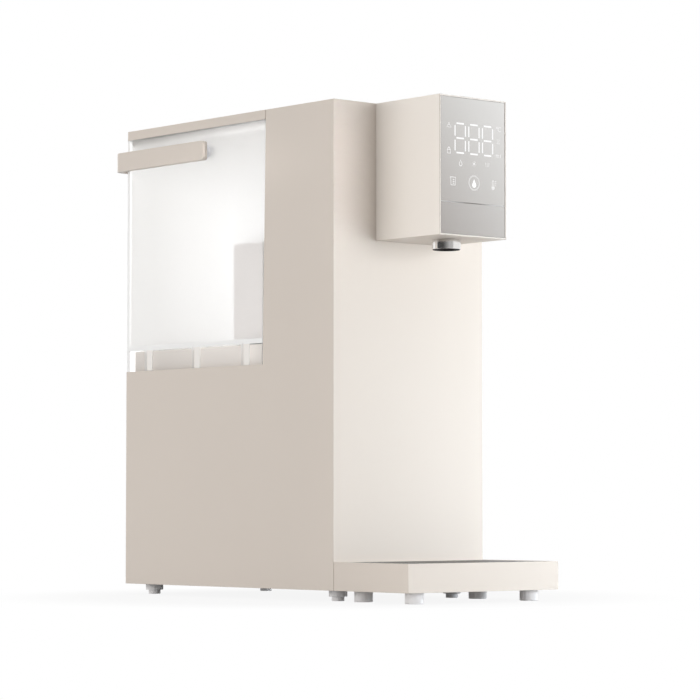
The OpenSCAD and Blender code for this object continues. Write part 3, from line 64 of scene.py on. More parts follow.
# camera at the photograph's place
cameraView = {
    "place": (-1.6901, -1.9959, 0.0851),
    "tilt": 93.018,  # degrees, 90 looks along the floor
    "turn": -40.639,
    "lens": 148.58,
    "sensor": 36,
    "reach": 60,
}
lensData = bpy.data.cameras.new("viewCamera")
lensData.lens = cameraView["lens"]
lensData.sensor_width = cameraView["sensor"]
lensData.clip_end = cameraView["reach"]
viewCamera = bpy.data.objects.new("viewCamera", lensData)
viewCamera.location = cameraView["place"]
viewCamera.rotation_euler = (radians(cameraView["tilt"]), 0, radians(cameraView["turn"]))
scene.collection.objects.link(viewCamera)
scene.camera = viewCamera
scene.view_settings.view_transform = "Standard"
print("camera set")


# node helpers

def paint(red, green, blue):  # a screen colour, 0 to 255, as linear light
    def linear(step):
        part = step / 255
        return part / 12.92 if part <= 0.04045 else ((part + 0.055) / 1.055) ** 2.4
    return (linear(red), linear(green), linear(blue), 1)


def addNode(tree, kind, sockets=None, **settings):
    node = tree.nodes.new("ShaderNode" + kind)
    for key, value in settings.items():
        setattr(node, key, value)
    for key, value in (sockets or {}).items():
        if isinstance(value, bpy.types.NodeSocket):
            tree.links.new(value, node.inputs[key])
        else:
            node.inputs[key].default_value = value
    return node


def calc(tree, operation, *values):
    return addNode(tree, "Math", dict(enumerate(values)), operation=operation).outputs[0]


def mapped(tree, value, low=0.0, high=1.0, start=0.0, end=1.0, **settings):
    # the stretch from low to high becomes the one from start to end
    return addNode(tree, "MapRange", {"Value": value, "From Min": low, "From Max": high,
                                      "To Min": start, "To Max": end}, **settings).outputs[0]


def mixed(tree, share, first, second):  # two colours blended
    return addNode(tree, "Mix", {0: share, 6: first, 7: second}, data_type="RGBA").outputs[2]


def noise(tree, spot, scale, detail):
    return addNode(tree, "TexNoise", {"Vector": spot, "Scale": scale, "Detail": detail}).outputs["Fac"]


def objectSpot(tree):
    return addNode(tree, "TexCoord").outputs["Object"]


def spotParts(tree):  # X, Y and Z of the object coordinates
    return addNode(tree, "SeparateXYZ", {0: objectSpot(tree)}).outputs


def newGroup(name, inputs, outputs):
    group = bpy.data.node_groups.new(name, "ShaderNodeTree")
    for label, kind, start in inputs:
        socket = group.interface.new_socket(label, in_out="INPUT", socket_type="NodeSocket" + kind)
        socket.default_value = start
    for label, kind in outputs:
        group.interface.new_socket(label, in_out="OUTPUT", socket_type="NodeSocket" + kind)
    return group, group.nodes.new("NodeGroupInput").outputs, group.nodes.new("NodeGroupOutput").inputs


def useGroup(tree, group, sockets):
    return addNode(tree, "Group", sockets, node_tree=group).outputs


def newFinish(name, **plain):
    finish = bpy.data.materials.new(name)
    finish.use_nodes = True
    tree = finish.node_tree
    shader = tree.nodes["Principled BSDF"]
    for key, value in plain.items():
        shader.inputs[key.replace("_", " ")].default_value = value
    return finish, tree, shader


skinOutputs = [("Colour", "Color"), ("Roughness", "Float"), ("Height", "Float")]


def closeSkin(group, given, made, tone, contrast, patch, height):  # tone and patch swing round 0.5
    tone = calc(group, "MULTIPLY_ADD", calc(group, "SUBTRACT", tone, 0.5), contrast, 1.0)
    patch = calc(group, "SUBTRACT", patch, 0.5)
    rough = calc(group, "MULTIPLY_ADD", patch, given["Spread"], given["Roughness"])
    toned = addNode(group, "HueSaturation", {"Color": given["Colour"], "Value": tone}).outputs["Color"]
    for label, value in (("Colour", toned), ("Roughness", rough), ("Height", height)):
        group.links.new(value, made[label])
    return group


# moulded grain: slow drift of tone, fine grain for bump, patchy roughness
def makeMouldGrain(slowScale=9, patchScale=60):
    group, given, made = newGroup(
        "mouldGrain",
        [("Colour", "Color", (0.8, 0.8, 0.8, 1)), ("Drift", "Float", 0.03), ("Grain", "Float", 900),
         ("Roughness", "Float", 0.45), ("Spread", "Float", 0.08)],
        skinOutputs)
    spot = objectSpot(group)
    slow = noise(group, spot, slowScale, 3)
    patch = noise(group, spot, patchScale, 4)
    grain = noise(group, spot, given["Grain"], 2)
    return closeSkin(group, given, made, slow, given["Drift"], patch, grain)


# drawn lines of brushed metal, stretched along the axis with the smallest number in Stretch
def makeBrushedLines():
    group, given, made = newGroup(
        "brushedLines",
        [("Colour", "Color", (0.6, 0.6, 0.6, 1)), ("Contrast", "Float", 0.2), ("Roughness", "Float", 0.3),
         ("Spread", "Float", 0.1), ("Stretch", "Vector", (1500, 20, 1500))],
        skinOutputs)
    drawn = addNode(group, "Mapping", {"Vector": objectSpot(group), "Scale": given["Stretch"]})
    line = noise(group, drawn.outputs["Vector"], 1, 3)
    return closeSkin(group, given, made, line, given["Contrast"], line, line)


mouldGrain = makeMouldGrain()
brushedLines = makeBrushedLines()


def wireSkin(tree, shader, skin, bump, depth):  # depth of the relief in metres
    tree.links.new(skin["Colour"], shader.inputs["Base Color"])
    tree.links.new(skin["Roughness"], shader.inputs["Roughness"])
    relief = addNode(tree, "Bump", {"Strength": bump, "Distance": depth, "Height": skin["Height"]})
    tree.links.new(relief.outputs["Normal"], shader.inputs["Normal"])


def mouldedFinish(name, colour, roughness=0.45, drift=0.04, grain=900, spread=0.08, bump=0.06, **plain):
    finish, tree, shader = newFinish(name, **plain)
    skin = useGroup(tree, mouldGrain, {"Colour": colour, "Drift": drift, "Grain": grain,
                                       "Roughness": roughness, "Spread": spread})
    wireSkin(tree, shader, skin, bump, depth=0.0002)
    return finish


def brushedFinish(name, colour, roughness, stretch, contrast=0.2, spread=0.12, bump=0.05, **plain):
    finish, tree, shader = newFinish(name, Metallic=1.0, **plain)
    skin = useGroup(tree, brushedLines, {"Colour": colour, "Contrast": contrast, "Roughness": roughness,
                                         "Spread": spread, "Stretch": stretch})
    wireSkin(tree, shader, skin, bump, depth=0.0001)
    return finish


# finishes of the pieces
finishes = {
    "shell": mouldedFinish("shellPaint", paint(219, 209, 199), roughness=0.42, drift=0.03),
    # rim: the shell paint darkened, painted shade at the edges round the head's glass
    "rim": mouldedFinish("rimPaintedShade", paint(170, 156, 144), roughness=0.42, drift=0.03),
    # white of the rib lines on the tank: painted light
    "rib": mouldedFinish("ribPaintedLight", paint(248, 244, 239), roughness=0.5, grain=1800),
    # paler than the shell paint, as painted light on the plinth seen through the skirt
    "plinth": mouldedFinish("plinthLitPaint", paint(250, 243, 236), roughness=0.42, drift=0.03),
    "bay": mouldedFinish("bayWhite", paint(244, 242, 239), roughness=0.42, drift=0.03),
    # white of the weld and corner lines on the tank: painted light
    "weld": mouldedFinish("weldPaintedLight", paint(252, 252, 251), roughness=0.5, grain=1800),
    # a lighter copy of the shell paint, for the head: painted light
    "shellLit": mouldedFinish("shellLitPaint", paint(234, 227, 219), roughness=0.42, drift=0.03),
    # the shell paint darkened for the head's underside: painted shade
    "headUnderShade": mouldedFinish("headUnderPaintedShade", paint(205, 194, 183), roughness=0.42, drift=0.03),
    "base": mouldedFinish("baseGrey", paint(120, 117, 114), roughness=0.6),
    "footCup": mouldedFinish("footCupGrey", paint(246, 244, 244), roughness=0.5, grain=1500),
    "footPad": mouldedFinish("footPadRubber", paint(240, 238, 238), roughness=0.7, grain=2200, bump=0.15),
    "trayFoot": mouldedFinish("trayFootRubber", paint(232, 230, 230), roughness=0.6, grain=2200, bump=0.12),
    "black": mouldedFinish("blackPlastic", paint(34, 33, 33), roughness=0.45, grain=1600),
    "outletBlack": mouldedFinish("outletBlack", paint(20, 20, 20), roughness=0.6, grain=1600,
                                 Specular_IOR_Level=0.08),
    "darkGrey": mouldedFinish("darkPlastic", paint(74, 74, 76), roughness=0.5),
    "seal": mouldedFinish("sealRubber", paint(58, 55, 53), roughness=0.7, grain=2400, bump=0.15),
    # near white on the lid's underside: painted light where little light reaches
    "lidUnderLit": mouldedFinish("lidUnderLitWhite", paint(253, 252, 250), roughness=0.5, grain=2000),
    "silicone": mouldedFinish("siliconeMilk", paint(228, 226, 223), roughness=0.5, grain=2000),
    "white": mouldedFinish("whitePlastic", paint(228, 228, 225), roughness=0.4),
    "cage": mouldedFinish("cagePlastic", paint(214, 210, 207), roughness=0.5),
    "float": mouldedFinish("floatFoam", paint(205, 203, 199), roughness=0.75, grain=1800, bump=0.2),
    "prefilter": mouldedFinish("prefilterPlastic", paint(214, 220, 224), roughness=0.38),
    "membrane": mouldedFinish("membranePlastic", paint(196, 206, 214), roughness=0.38),
    "board": mouldedFinish("boardLaminate", paint(38, 84, 60), roughness=0.45, grain=3000),
    "touchPad": mouldedFinish("touchPadFilm", paint(196, 150, 84), roughness=0.4),
    "hose": mouldedFinish("hoseSilicone", paint(222, 224, 224), roughness=0.4),
    "guide": mouldedFinish("guideAcrylic", paint(232, 234, 236), roughness=0.3),
    "outletSteel": brushedFinish("outletSteel", paint(232, 230, 228), 0.16, (40, 40, 2600), contrast=0.12),
    "grilleSteel": brushedFinish("grilleSteel", paint(118, 116, 114), 0.3, (2400, 60, 2400), contrast=0.3),
    "screwSteel": brushedFinish("screwSteel", paint(150, 150, 152), 0.35, (900, 60, 900)),
    "motorSteel": brushedFinish("motorSteel", paint(142, 144, 147), 0.4, (60, 1200, 1200)),
}


# silvered glass of the display, with a painted reflection: lighter at its upper right, darker at its lower
# left
silverSheenPlan = {
    "across": (-0.038, 0.038),  # metres
    "up": (0.314, 0.432),
    "shares": (0.45, 0.55),
    "film": {"Contrast": 0.05, "Spread": 0.06, "Stretch": (30, 30, 4000)},
}


def makeSheenedSilverGlass(name, low, high, roughness, plan=silverSheenPlan):
    finish, tree, shader = newFinish(name, Metallic=0.9, Coat_Weight=0.5, Coat_Roughness=0.05)
    spot = spotParts(tree)
    acrossShare, upShare = plan["shares"]
    sheenShare = calc(tree, "MULTIPLY", mapped(tree, spot["X"], *plan["across"]), acrossShare)
    sheenShare = calc(tree, "MULTIPLY_ADD", mapped(tree, spot["Z"], *plan["up"]), upShare, sheenShare)
    film = useGroup(tree, brushedLines, {**plan["film"], "Colour": mixed(tree, sheenShare, low, high),
                                         "Roughness": roughness})
    tree.links.new(film["Colour"], shader.inputs["Base Color"])
    tree.links.new(film["Roughness"], shader.inputs["Roughness"])
    return finish


# light that shows through the glass, a little uneven as behind a diffuser
def makeLitFinish(name, colour):
    finish, tree, shader = newFinish(name, Base_Color=paint(60, 60, 60), Roughness=0.4, Emission_Strength=1.0)
    skin = useGroup(tree, mouldGrain, {"Colour": colour, "Drift": 0.08, "Grain": 700})
    tree.links.new(skin["Colour"], shader.inputs["Emission Color"])
    return finish


# clear tank: frosted above its floor and on the ribs of the skirt, plain between them; its colour darker
# towards the rear, painted shade
tankPlan = {
    "floor": (0.2255, 0.2305),  # metres
    "frosted": 1.0,  # roughness
    "plain": 0.12,
    "bend": 1.22,
    "rib": 0.0887,
    "pitch": 0.072,
    "ribEdge": (0.0028, 0.0044),
    "shadedSpan": (0.04, 0.15),  # along Y, from the front tone to the rear one, darker towards the rear: painted shade
    "front": paint(254.3, 254.1, 254.1),
    "rear": paint(239.7, 239.2, 238.4),
    "skirtShade": 0.6,  # share of the rear's painted shade in the skirt
    "skin": {"Drift": 0.01, "Grain": 1500, "Roughness": 0.0, "Spread": 0.03},
}


def makeTankFinish(name, plan):
    finish, tree, shader = newFinish(name, Transmission_Weight=1.0, IOR=plan["bend"])
    spot = spotParts(tree)
    above = mapped(tree, spot["Z"], *plan["floor"])
    along = calc(tree, "PINGPONG", calc(tree, "SUBTRACT", spot["Y"], plan["rib"]), plan["pitch"] / 2)
    onRib = mapped(tree, along, *plan["ribEdge"], start=1, end=0)
    frost = calc(tree, "MAXIMUM", above, onRib)
    rough = mapped(tree, frost, start=plan["plain"], end=plan["frosted"])
    back = mapped(tree, spot["Y"], *plan["shadedSpan"])
    share = calc(tree, "MULTIPLY", back, mapped(tree, above, start=plan["skirtShade"]))
    shadedTint = mixed(tree, share, plan["front"], plan["rear"])
    skin = useGroup(tree, mouldGrain, {**plan["skin"], "Colour": shadedTint})
    tree.links.new(skin["Colour"], shader.inputs["Base Color"])
    tree.links.new(calc(tree, "ADD", rough, skin["Roughness"]), shader.inputs["Roughness"])
    return finish


pinTint = paint(226, 226, 228)
pinPlan = {**tankPlan, "frosted": 0.3, "front": pinTint, "rear": pinTint}

# groove of the display, painted shade and highlight: dark in the middle, light towards its ends
grooveShadeTone = {"dark": paint(120, 115, 110), "light": paint(236, 234, 232), "fade": (0.008, 0.024)}


def makeGrooveShadeFinish(name, tone):
    finish, tree, shader = newFinish(name, Roughness=0.4)
    away = calc(tree, "ABSOLUTE", spotParts(tree)["X"])
    share = mapped(tree, away, *tone["fade"])
    tree.links.new(mixed(tree, share, tone["dark"], tone["light"]), shader.inputs["Base Color"])
    return finish


# both silvered pieces carry the painted reflection, lighter at the upper right and darker at the lower left
finishes["glass"] = makeSheenedSilverGlass("displaySilver", paint(176, 171, 167), paint(228, 227, 225), 0.2)
finishes["fascia"] = makeSheenedSilverGlass("fasciaSilver", paint(172, 167, 163), paint(226, 225, 223), 0.24)
finishes["lit"] = makeLitFinish("litWhite", paint(255, 255, 255))
finishes["litSoft"] = makeLitFinish("litSoftWhite", paint(236, 235, 234))
finishes["litFaint"] = makeLitFinish("litFaintWhite", paint(211, 209, 207))
finishes["tank"] = makeTankFinish("tankClear", tankPlan)
finishes["pin"] = makeTankFinish("pinClear", pinPlan)
finishes["groove"] = makeGrooveShadeFinish("grooveShadeAndLight", grooveShadeTone)
print("finishes:", len(finishes))


# mesh helpers

def newPiece(name, bm, finish, body, stands=(), smooth=30):
    mesh = bpy.data.meshes.new(name)
    bm.to_mesh(mesh)
    bm.free()
    for layer in ("custom_normal", "sharp_face", "sharp_edge"):
        if layer in mesh.attributes:
            mesh.attributes.remove(mesh.attributes[layer])
    mesh.materials.clear()
    mesh.materials.append(finishes[finish])
    mesh.shade_smooth()
    mesh.set_sharp_from_angle(angle=radians(smooth))
    piece = bpy.data.objects.new(name, mesh)
    scene.collection.objects.link(piece)
    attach(piece, body)
    if stands:
        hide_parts(*stands)
    return piece


def absorb(bm, other):  # adds another bmesh to this one
    mesh = bpy.data.meshes.new("loose")
    other.to_mesh(mesh)
    other.free()
    bm.from_mesh(mesh)
    bpy.data.meshes.remove(mesh)


def turned(profile, centre, steps=48, along="Z"):  # profile of (radius, height) in mm, spun round an axis
    bm = bmesh.new()
    chain = [bm.verts.new((r * mm, 0, z * mm)) for r, z in profile]
    ends = chain[1:] if profile[0][0] == 0 else chain[1:] + chain[:1]
    edges = [bm.edges.new(pair) for pair in zip(chain, ends)]
    bmesh.ops.spin(bm, geom=chain + edges, cent=(0, 0, 0), axis=(0, 0, 1), angle=2 * pi, steps=steps,
                   use_merge=True)
    bmesh.ops.remove_doubles(bm, verts=bm.verts, dist=mergeGap)
    bmesh.ops.recalc_face_normals(bm, faces=bm.faces)
    if along == "Y":
        bmesh.ops.rotate(bm, verts=bm.verts, cent=(0, 0, 0), matrix=Matrix.Rotation(-pi / 2, 3, "X"))
    bmesh.ops.translate(bm, verts=bm.verts, vec=Vector(centre) * mm)
    return bm


def barAt(bm, centre, size, edge):  # a bar in mm with rounded edges
    made = bmesh.ops.create_cube(bm, size=1)["verts"]
    bmesh.ops.scale(bm, verts=made, vec=Vector(size) * mm)
    bmesh.ops.translate(bm, verts=made, vec=Vector(centre) * mm)
    edges = list({e for v in made for e in v.link_edges})
    bmesh.ops.bevel(bm, geom=edges, offset=edge * mm, affect="EDGES", segments=2, profile=0.5, material=-1)


def softCopy(node, name, finish, edge, steps=3, sharp=40, flat=0.15):
    # a copy of a solid with its sharp edges rounded; sharp and flat in degrees
    bm = bmesh.new()
    bm.from_mesh(frame["nodes"][node].data)
    bmesh.ops.remove_doubles(bm, verts=bm.verts, dist=mergeGap)
    bmesh.ops.dissolve_limit(bm, angle_limit=radians(flat), verts=bm.verts, edges=bm.edges)
    edges = [e for e in bm.edges if e.is_manifold and e.calc_face_angle() > radians(sharp)]
    bmesh.ops.bevel(bm, geom=edges, offset=edge * mm, affect="EDGES", segments=steps, profile=0.5,
                    material=-1, clamp_overlap=True)
    body = frame["nodes"][node]["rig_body"]
    piece = newPiece(name, bm, finish, body, (node,))
    even = piece.modifiers.new("evenShading", "WEIGHTED_NORMAL")  # wide faces stay flat beside the rounds
    even.keep_sharp = True
    return piece


# shells: copies of the solids with their edges rounded
shellPieces = {
    # node: (piece, finish, slot, edge radius in mm)
    "left_side_cover": ("leftCover", "shell", "shell", 0.8),
    "right_side_cover": ("rightCover", "shell", "shell", 0.8),
    "front_cover": ("frontCover", "shell", "shell", 0.8),
    "rear_cover": ("rearCover", "shell", "shell", 0.5),
    "head_shell": ("headShell", "shellLit", "shell", 0.5),
    "tank_bay_wall": ("bayWall", "bay", "white_plastic", 0.4),
    "tank_deck": ("tankDeck", "shell", "shell", 0.4),
    "tank_plinth": ("tankPlinth", "plinth", "shell", 0.8),
    "filter_cover": ("filterCover", "shell", "shell", 0.6),
    "tank_lid": ("tankLid", "shell", "shell", 0.6),
    "carry_handle": ("carryBail", "shell", "shell", 2.4),
    "drip_tray": ("dripTray", "shell", "shell", 0.8),
    "drip_grille": ("dripGrille", "grilleSteel", "grille_metal", 0.35),
    "display_glass": ("displayGlass", "glass", "display_glass", 0.3),
    "lower_fascia": ("lowerFascia", "fascia", "display_glass", 0.3),
    "water_tank": ("waterTank", "tank", "tank_clear", 0.5),
    "float_cage": ("floatCage", "cage", "cage", 0.5),
    "level_float": ("levelFloat", "float", None, 1.0),
    "handle_pins": ("bailPins", "pin", "tank_clear", 0.4),
    "prefilter_cartridge": ("prefilterCartridge", "prefilter", "white_plastic", 1.2),
    "membrane_cartridge": ("membraneCartridge", "membrane", "membrane_plastic", 1.2),
}
made = {}
for node, (piece, finish, slot, edge) in shellPieces.items():
    made[piece] = softCopy(node, piece, finish, edge)
made["carryBail"].visible_transmission = False  # the frost hides the bail behind the tank

# second finishes: a near-white underside of the lid, painted light; a darker rim at the head's front, painted
# shade; a darker underside of the head, painted shade
zonePlan = {  # metres
    "lidUnderTop": 0.42455,
    "shadedRimFront": -0.1889,
    "shadedRimSide": 0.0374,
    "headFoot": 0.3131,
}
lidMesh = made["tankLid"].data
lidMesh.materials.append(finishes["lidUnderLit"])
for face in lidMesh.polygons:
    if face.center.z < zonePlan["lidUnderTop"]:
        face.material_index = 1
headMesh = made["headShell"].data
headMesh.materials.append(finishes["rim"])
headMesh.materials.append(finishes["headUnderShade"])
for face in headMesh.polygons:
    if face.center.y < zonePlan["shadedRimFront"] and abs(face.center.x) > zonePlan["shadedRimSide"]:
        face.material_index = 1
    elif face.center.z < zonePlan["headFoot"]:
        face.material_index = 2
print("shells:", len(shellPieces))

# light lines of the tank, painted light: white strips on its outer skin where light shows through the clear
# plastic, along the weld round its floor, its rear corners, and over the ribs behind the skirt
linePlan = {
    "weld": (226.0, 230.5),  # heights, mm
    "corner": (84.4, 188.6),  # where the corner lines start, across and along
    "ribs": (16.7, 88.7, 160.7),
    "ribSpan": (-8.0, 0.2),  # seen through the wall, a rib stands forward of its place
    "stand": (207.3, 424.2),
    "middle": (0, 0.09, 0.3),  # metres
    "outer": (85.9, 191.4),  # only what lies outside these is skin
    "steep": 0.5,
    "proud": 0.06,
}


def tankSkin(bm, cuts):  # adds the tank's outer skin between planes of (axis, level, side that is cut away)
    skin = bmesh.new()
    skin.from_mesh(frame["nodes"]["water_tank"].data)
    bmesh.ops.remove_doubles(skin, verts=skin.verts, dist=mergeGap)
    for axis, level, away in cuts:
        facing = Vector((axis == "X", axis == "Y", axis == "Z"))
        bmesh.ops.bisect_plane(skin, geom=skin.verts[:] + skin.edges[:] + skin.faces[:], dist=cutGap,
                               plane_co=facing * level * mm, plane_no=facing * away, clear_outer=True)
    side, rear = (value * mm for value in linePlan["outer"])
    steep = linePlan["steep"]
    inside = []
    for face in skin.faces:
        spot = face.calc_center_median()
        outward = (spot - Vector(linePlan["middle"])).dot(face.normal) > 0 and face.normal.y > -steep
        if not outward or abs(face.normal.z) > steep or (abs(spot.x) < side and spot.y < rear):
            inside.append(face)
    bmesh.ops.delete(skin, geom=inside, context="FACES")
    bmesh.ops.solidify(skin, geom=skin.faces[:], thickness=-linePlan["proud"] * mm)
    bmesh.ops.recalc_face_normals(skin, faces=skin.faces)
    absorb(bm, skin)


low, high = linePlan["weld"]
foot, top = linePlan["stand"]
across, along = linePlan["corner"]
bm = bmesh.new()
tankSkin(bm, [("Z", low, -1), ("Z", high, 1)])
for hand in (-1, 1):
    for start, end in ((foot, low), (high, top)):
        tankSkin(bm, [("X", hand * across, -hand), ("Y", along, -1), ("Z", start, -1), ("Z", end, 1)])
tankWeldLightLines = newPiece("tankWeldLightLines", bm, "weld", "water_tank")
bm = bmesh.new()
for rib in linePlan["ribs"]:
    start, end = (rib + offset for offset in linePlan["ribSpan"])
    tankSkin(bm, [("Y", start, -1), ("Y", end, 1), ("Z", foot, -1), ("Z", low, 1)])
tankRibLightLines = newPiece("tankRibLightLines", bm, "rib", "water_tank")
for trim in (tankWeldLightLines, tankRibLightLines):  # they let the light into the tank
    trim.visible_shadow = False
    trim.visible_transmission = False
print("tank lined")

# lit digits and signs on the display glass
displayPlan = {
    "face": -189.2,  # the glass face, mm
    "proud": 0.06,
    "digitsX": (-15.0, 1.1, 17.2),
    "digitsZ": 396.6,
    "digitSize": (13.2, 26.6),
    "lying": (8.8, 1.35),  # length and width of the lying bars
    "standing": (9.2, 1.15),
    "depth": 0.3,
    "edge": 0.14,
}


def digitBars(bm, centreX, plan):
    width, height = plan["digitSize"]
    depth, edge = plan["depth"], plan["edge"]
    lyingLength, lyingWidth = plan["lying"]
    standingLength, standingWidth = plan["standing"]
    y = plan["face"] - plan["proud"] + depth / 2
    half = (height - lyingWidth) / 2
    side = (width - standingWidth) / 2
    for step in (-1, 0, 1):
        barAt(bm, (centreX, y, plan["digitsZ"] + step * half), (lyingLength, depth, lyingWidth), edge)
    for step in (-0.5, 0.5):
        for hand in (-1, 1):
            barAt(bm, (centreX + hand * side, y, plan["digitsZ"] + step * half),
                  (standingWidth, depth, standingLength), edge)


bm = bmesh.new()
for centreX in displayPlan["digitsX"]:
    digitBars(bm, centreX, displayPlan)
newPiece("displayDigits", bm, "lit", "housing")


def arc(centreX, centreZ, radius, start, end, count=14):
    turns = [radians(start + (end - start) * i / (count - 1)) for i in range(count)]
    return [(centreX + radius * cos(t), centreZ + radius * sin(t)) for t in turns]


def ringLine(centreX, centreZ, radius, count=28):
    return (arc(centreX, centreZ, radius, 0, 360 - 360 / count, count), True)


def dropLine(height, belly=0.31):  # a drop standing on its round end, its middle at the origin
    radius = height * belly
    low = -height / 2 + radius
    return [(0, height / 2)] + arc(0, low, radius, 30, -210, 20)


def strokesMesh(strokes, width):  # lines of a sign as one flat mesh, mm
    curve = bpy.data.curves.new("signLine", "CURVE")
    curve.dimensions = "3D"
    curve.bevel_depth = width / 2 * mm
    curve.bevel_resolution = 1
    curve.use_fill_caps = True
    for points, closed in strokes:
        spline = curve.splines.new("POLY")
        spline.points.add(len(points) - 1)
        for point, (x, z) in zip(spline.points, points):
            point.co = (x * mm, 0, z * mm, 1)
        spline.use_cyclic_u = closed
    holder = bpy.data.objects.new("signLine", curve)
    scene.collection.objects.link(holder)
    mesh = bpy.data.meshes.new_from_object(holder.evaluated_get(bpy.context.evaluated_depsgraph_get()))
    bpy.data.objects.remove(holder)
    bpy.data.curves.remove(curve)
    return mesh


def line(*points):
    return (list(points), False)


# signs: place on the glass, line width, lines round that place, all mm
signs = {
    "alert": ((-28.1, 407.1), 0.75, [([(-2.5, -1.9), (2.5, -1.9), (0, 2.2)], True),
                                     line((0, 0.7), (0, -0.4))]),
    "lock": ((-28.2, 385.6), 0.75, [([(-1.8, -2.8), (1.8, -2.8), (1.8, 0.3), (-1.8, 0.3)], True),
                                    ([(-1.1, 0.3)] + arc(0, 1.3, 1.1, 180, 0, 8) + [(1.1, 0.3)], False)]),
    "degree": ((30.4, 407.8), 0.6, [ringLine(-2.1, 1.4, 0.7, 12), (arc(1.2, 0, 1.9, 50, 310), False)]),
    "timer": ((29.8, 397.0), 0.6, [([(-1.6, 1.7), (1.6, 1.7), (-1.6, -1.7), (1.6, -1.7)], True)]),
    "amount": ((30.2, 384.5), 0.6, [line((-2.8, -1.4), (-2.8, 1.0), (-1.3, 1.0), (-1.3, -1.4)),
                                    line((-1.3, 1.0), (0.3, 1.0), (0.3, -1.4)),
                                    line((2.2, 1.9), (2.2, -1.4))]),
    "dropLine": ((-14.6, 375.4), 0.75, [(dropLine(5.2), True)]),
    "warmth": ((1.2, 375.7), 0.55, [ringLine(0, 0, 0.9, 16), ringLine(0, 0, 0.45, 12)] + [
        line((1.8 * cos(t), 1.8 * sin(t)), (2.3 * cos(t), 2.3 * sin(t)))
        for t in (i * pi / 4 for i in range(8))]),
    "waves": ((16.9, 376.0), 0.5, [line((-2.6, 1.8), (-1.6, -1.7), (-0.6, 1.8), (0.4, -1.7)),
                                   line((0.9, 1.8), (1.6, -1.7), (2.3, 1.8))]),
    "measure": ((-23.5, 359.2), 0.75, [line((-3.6, 3.4), (-2.7, 3.0), (-2.4, -3.4), (2.6, -3.4), (2.9, 3.4),
                                            (-3.6, 3.4)),
                                       line((-0.4, 1.4), (1.6, 1.4)), line((-0.4, -0.2), (1.6, -0.2)),
                                       line((-0.4, -1.8), (1.6, -1.8))]),
    "heat": ((24.6, 359.0), 0.65, [(arc(-1.0, -2.4, 1.6, 125, 415, 18) + [(0.0, 2.8)]
                                    + arc(-1.0, 2.8, 1.0, 0, 180, 8), True),
                                   ringLine(-1.0, -2.4, 0.9, 12), ringLine(-1.0, -2.4, 0.35, 8),
                                   line((1.4, 3.2), (2.9, 3.2)), line((1.4, 1.4), (2.9, 1.4)),
                                   line((1.4, -0.4), (2.4, -0.4))]),
}
pressSign = {"press": ((1.2, 359.2), 1.6, [ringLine(0, 0, 6.0, 48)])}
pressDrop = {"place": (1.2, 358.8), "height": 7.6}


def signPiece(name, plan, finish):
    bm = bmesh.new()
    for (centreX, centreZ), width, strokes in plan.values():
        sign = strokesMesh(strokes, width)
        sign.transform(Matrix.Translation(Vector((centreX, displayPlan["face"], centreZ)) * mm)
                       @ Matrix.Diagonal((1, 2 * displayPlan["proud"] / width, 1, 1)))
        bm.from_mesh(sign)
        bpy.data.meshes.remove(sign)
    newPiece(name, bm, finish, "housing", smooth=60)


signPiece("displaySigns", signs, "litSoft")
signPiece("pressRing", pressSign, "litFaint")


# the press drop: a filled drop in the ring
def filledDrop(plan, depth):
    bm = bmesh.new()
    centreX, centreZ = plan["place"]
    y = (displayPlan["face"] - displayPlan["proud"]) * mm
    rim = [bm.verts.new(((centreX + x) * mm, y, (centreZ + z) * mm)) for x, z in dropLine(plan["height"])]
    front = bm.faces.new(rim)
    back = bmesh.ops.extrude_face_region(bm, geom=[front])["geom"]
    backVerts = [v for v in back if isinstance(v, bmesh.types.BMVert)]
    bmesh.ops.translate(bm, verts=backVerts, vec=(0, depth * mm, 0))
    bmesh.ops.recalc_face_normals(bm, faces=bm.faces)
    return bm


newPiece("pressDrop", filledDrop(pressDrop, displayPlan["depth"]), "lit", "housing")

# strip at the foot of the groove between the glass and the fascia
groovePlan = {"centre": (0, -188.6, 341.35), "size": (74.6, 0.6, 0.4), "edge": 0.1}
bm = bmesh.new()
barAt(bm, groovePlan["centre"], groovePlan["size"], groovePlan["edge"])
newPiece("grooveStrip", bm, "groove", "housing")
print("display lit")

# outlet: grooved steel ring, and a black stream insert with vanes that shows below it; all mm
outletPlan = {
    "centre": (0, -155, 0),
    "ring": 12.5,  # radius
    "bore": 10.05,
    "low": 303.2,
    "top": 312.2,
    "vanes": 6,
    "vaneCentre": (3.6, 0, 307.6),
    "vaneSize": (7.4, 0.8, 5.0),
    "vaneEdge": 0.2,
}
low, top, rim, bore = (outletPlan[key] for key in ("low", "top", "ring", "bore"))
ringProfile = [(bore, low + 1.5), (rim - 0.55, low + 1.4), (rim - 0.5, low + 0.95), (rim - 0.4, low + 0.8),
               (rim - 0.3, low + 0.8), (rim - 0.1, low + 0.9), (rim, low + 1.15),
               (rim, top - 1.6), (rim - 0.25, top - 1.4), (rim - 0.25, top - 1.0), (rim, top - 0.8),
               (rim, top - 0.2), (rim - 0.2, top), (bore, top)]
outletRing = newPiece("outletRing", turned(ringProfile, outletPlan["centre"], 96), "outletSteel", "housing",
                      ("outlet_ring",))
insertProfile = [(0, 326.0), (3.9, 326.0), (4.3, 325.6), (4.3, 316.5), (13.0, 316.5), (13.0, 314.6),
                 (bore - 0.05, 314.4), (bore - 0.05, low + 1.45), (rim - 0.6, low + 1.35),
                 (rim - 0.65, low + 0.6), (rim - 0.9, low + 0.3), (8.1, low + 0.3), (7.5, low + 0.9),
                 (7.5, 309.6), (1.2, 310.4), (0, 310.4)]
bm = turned(insertProfile, outletPlan["centre"], 64)
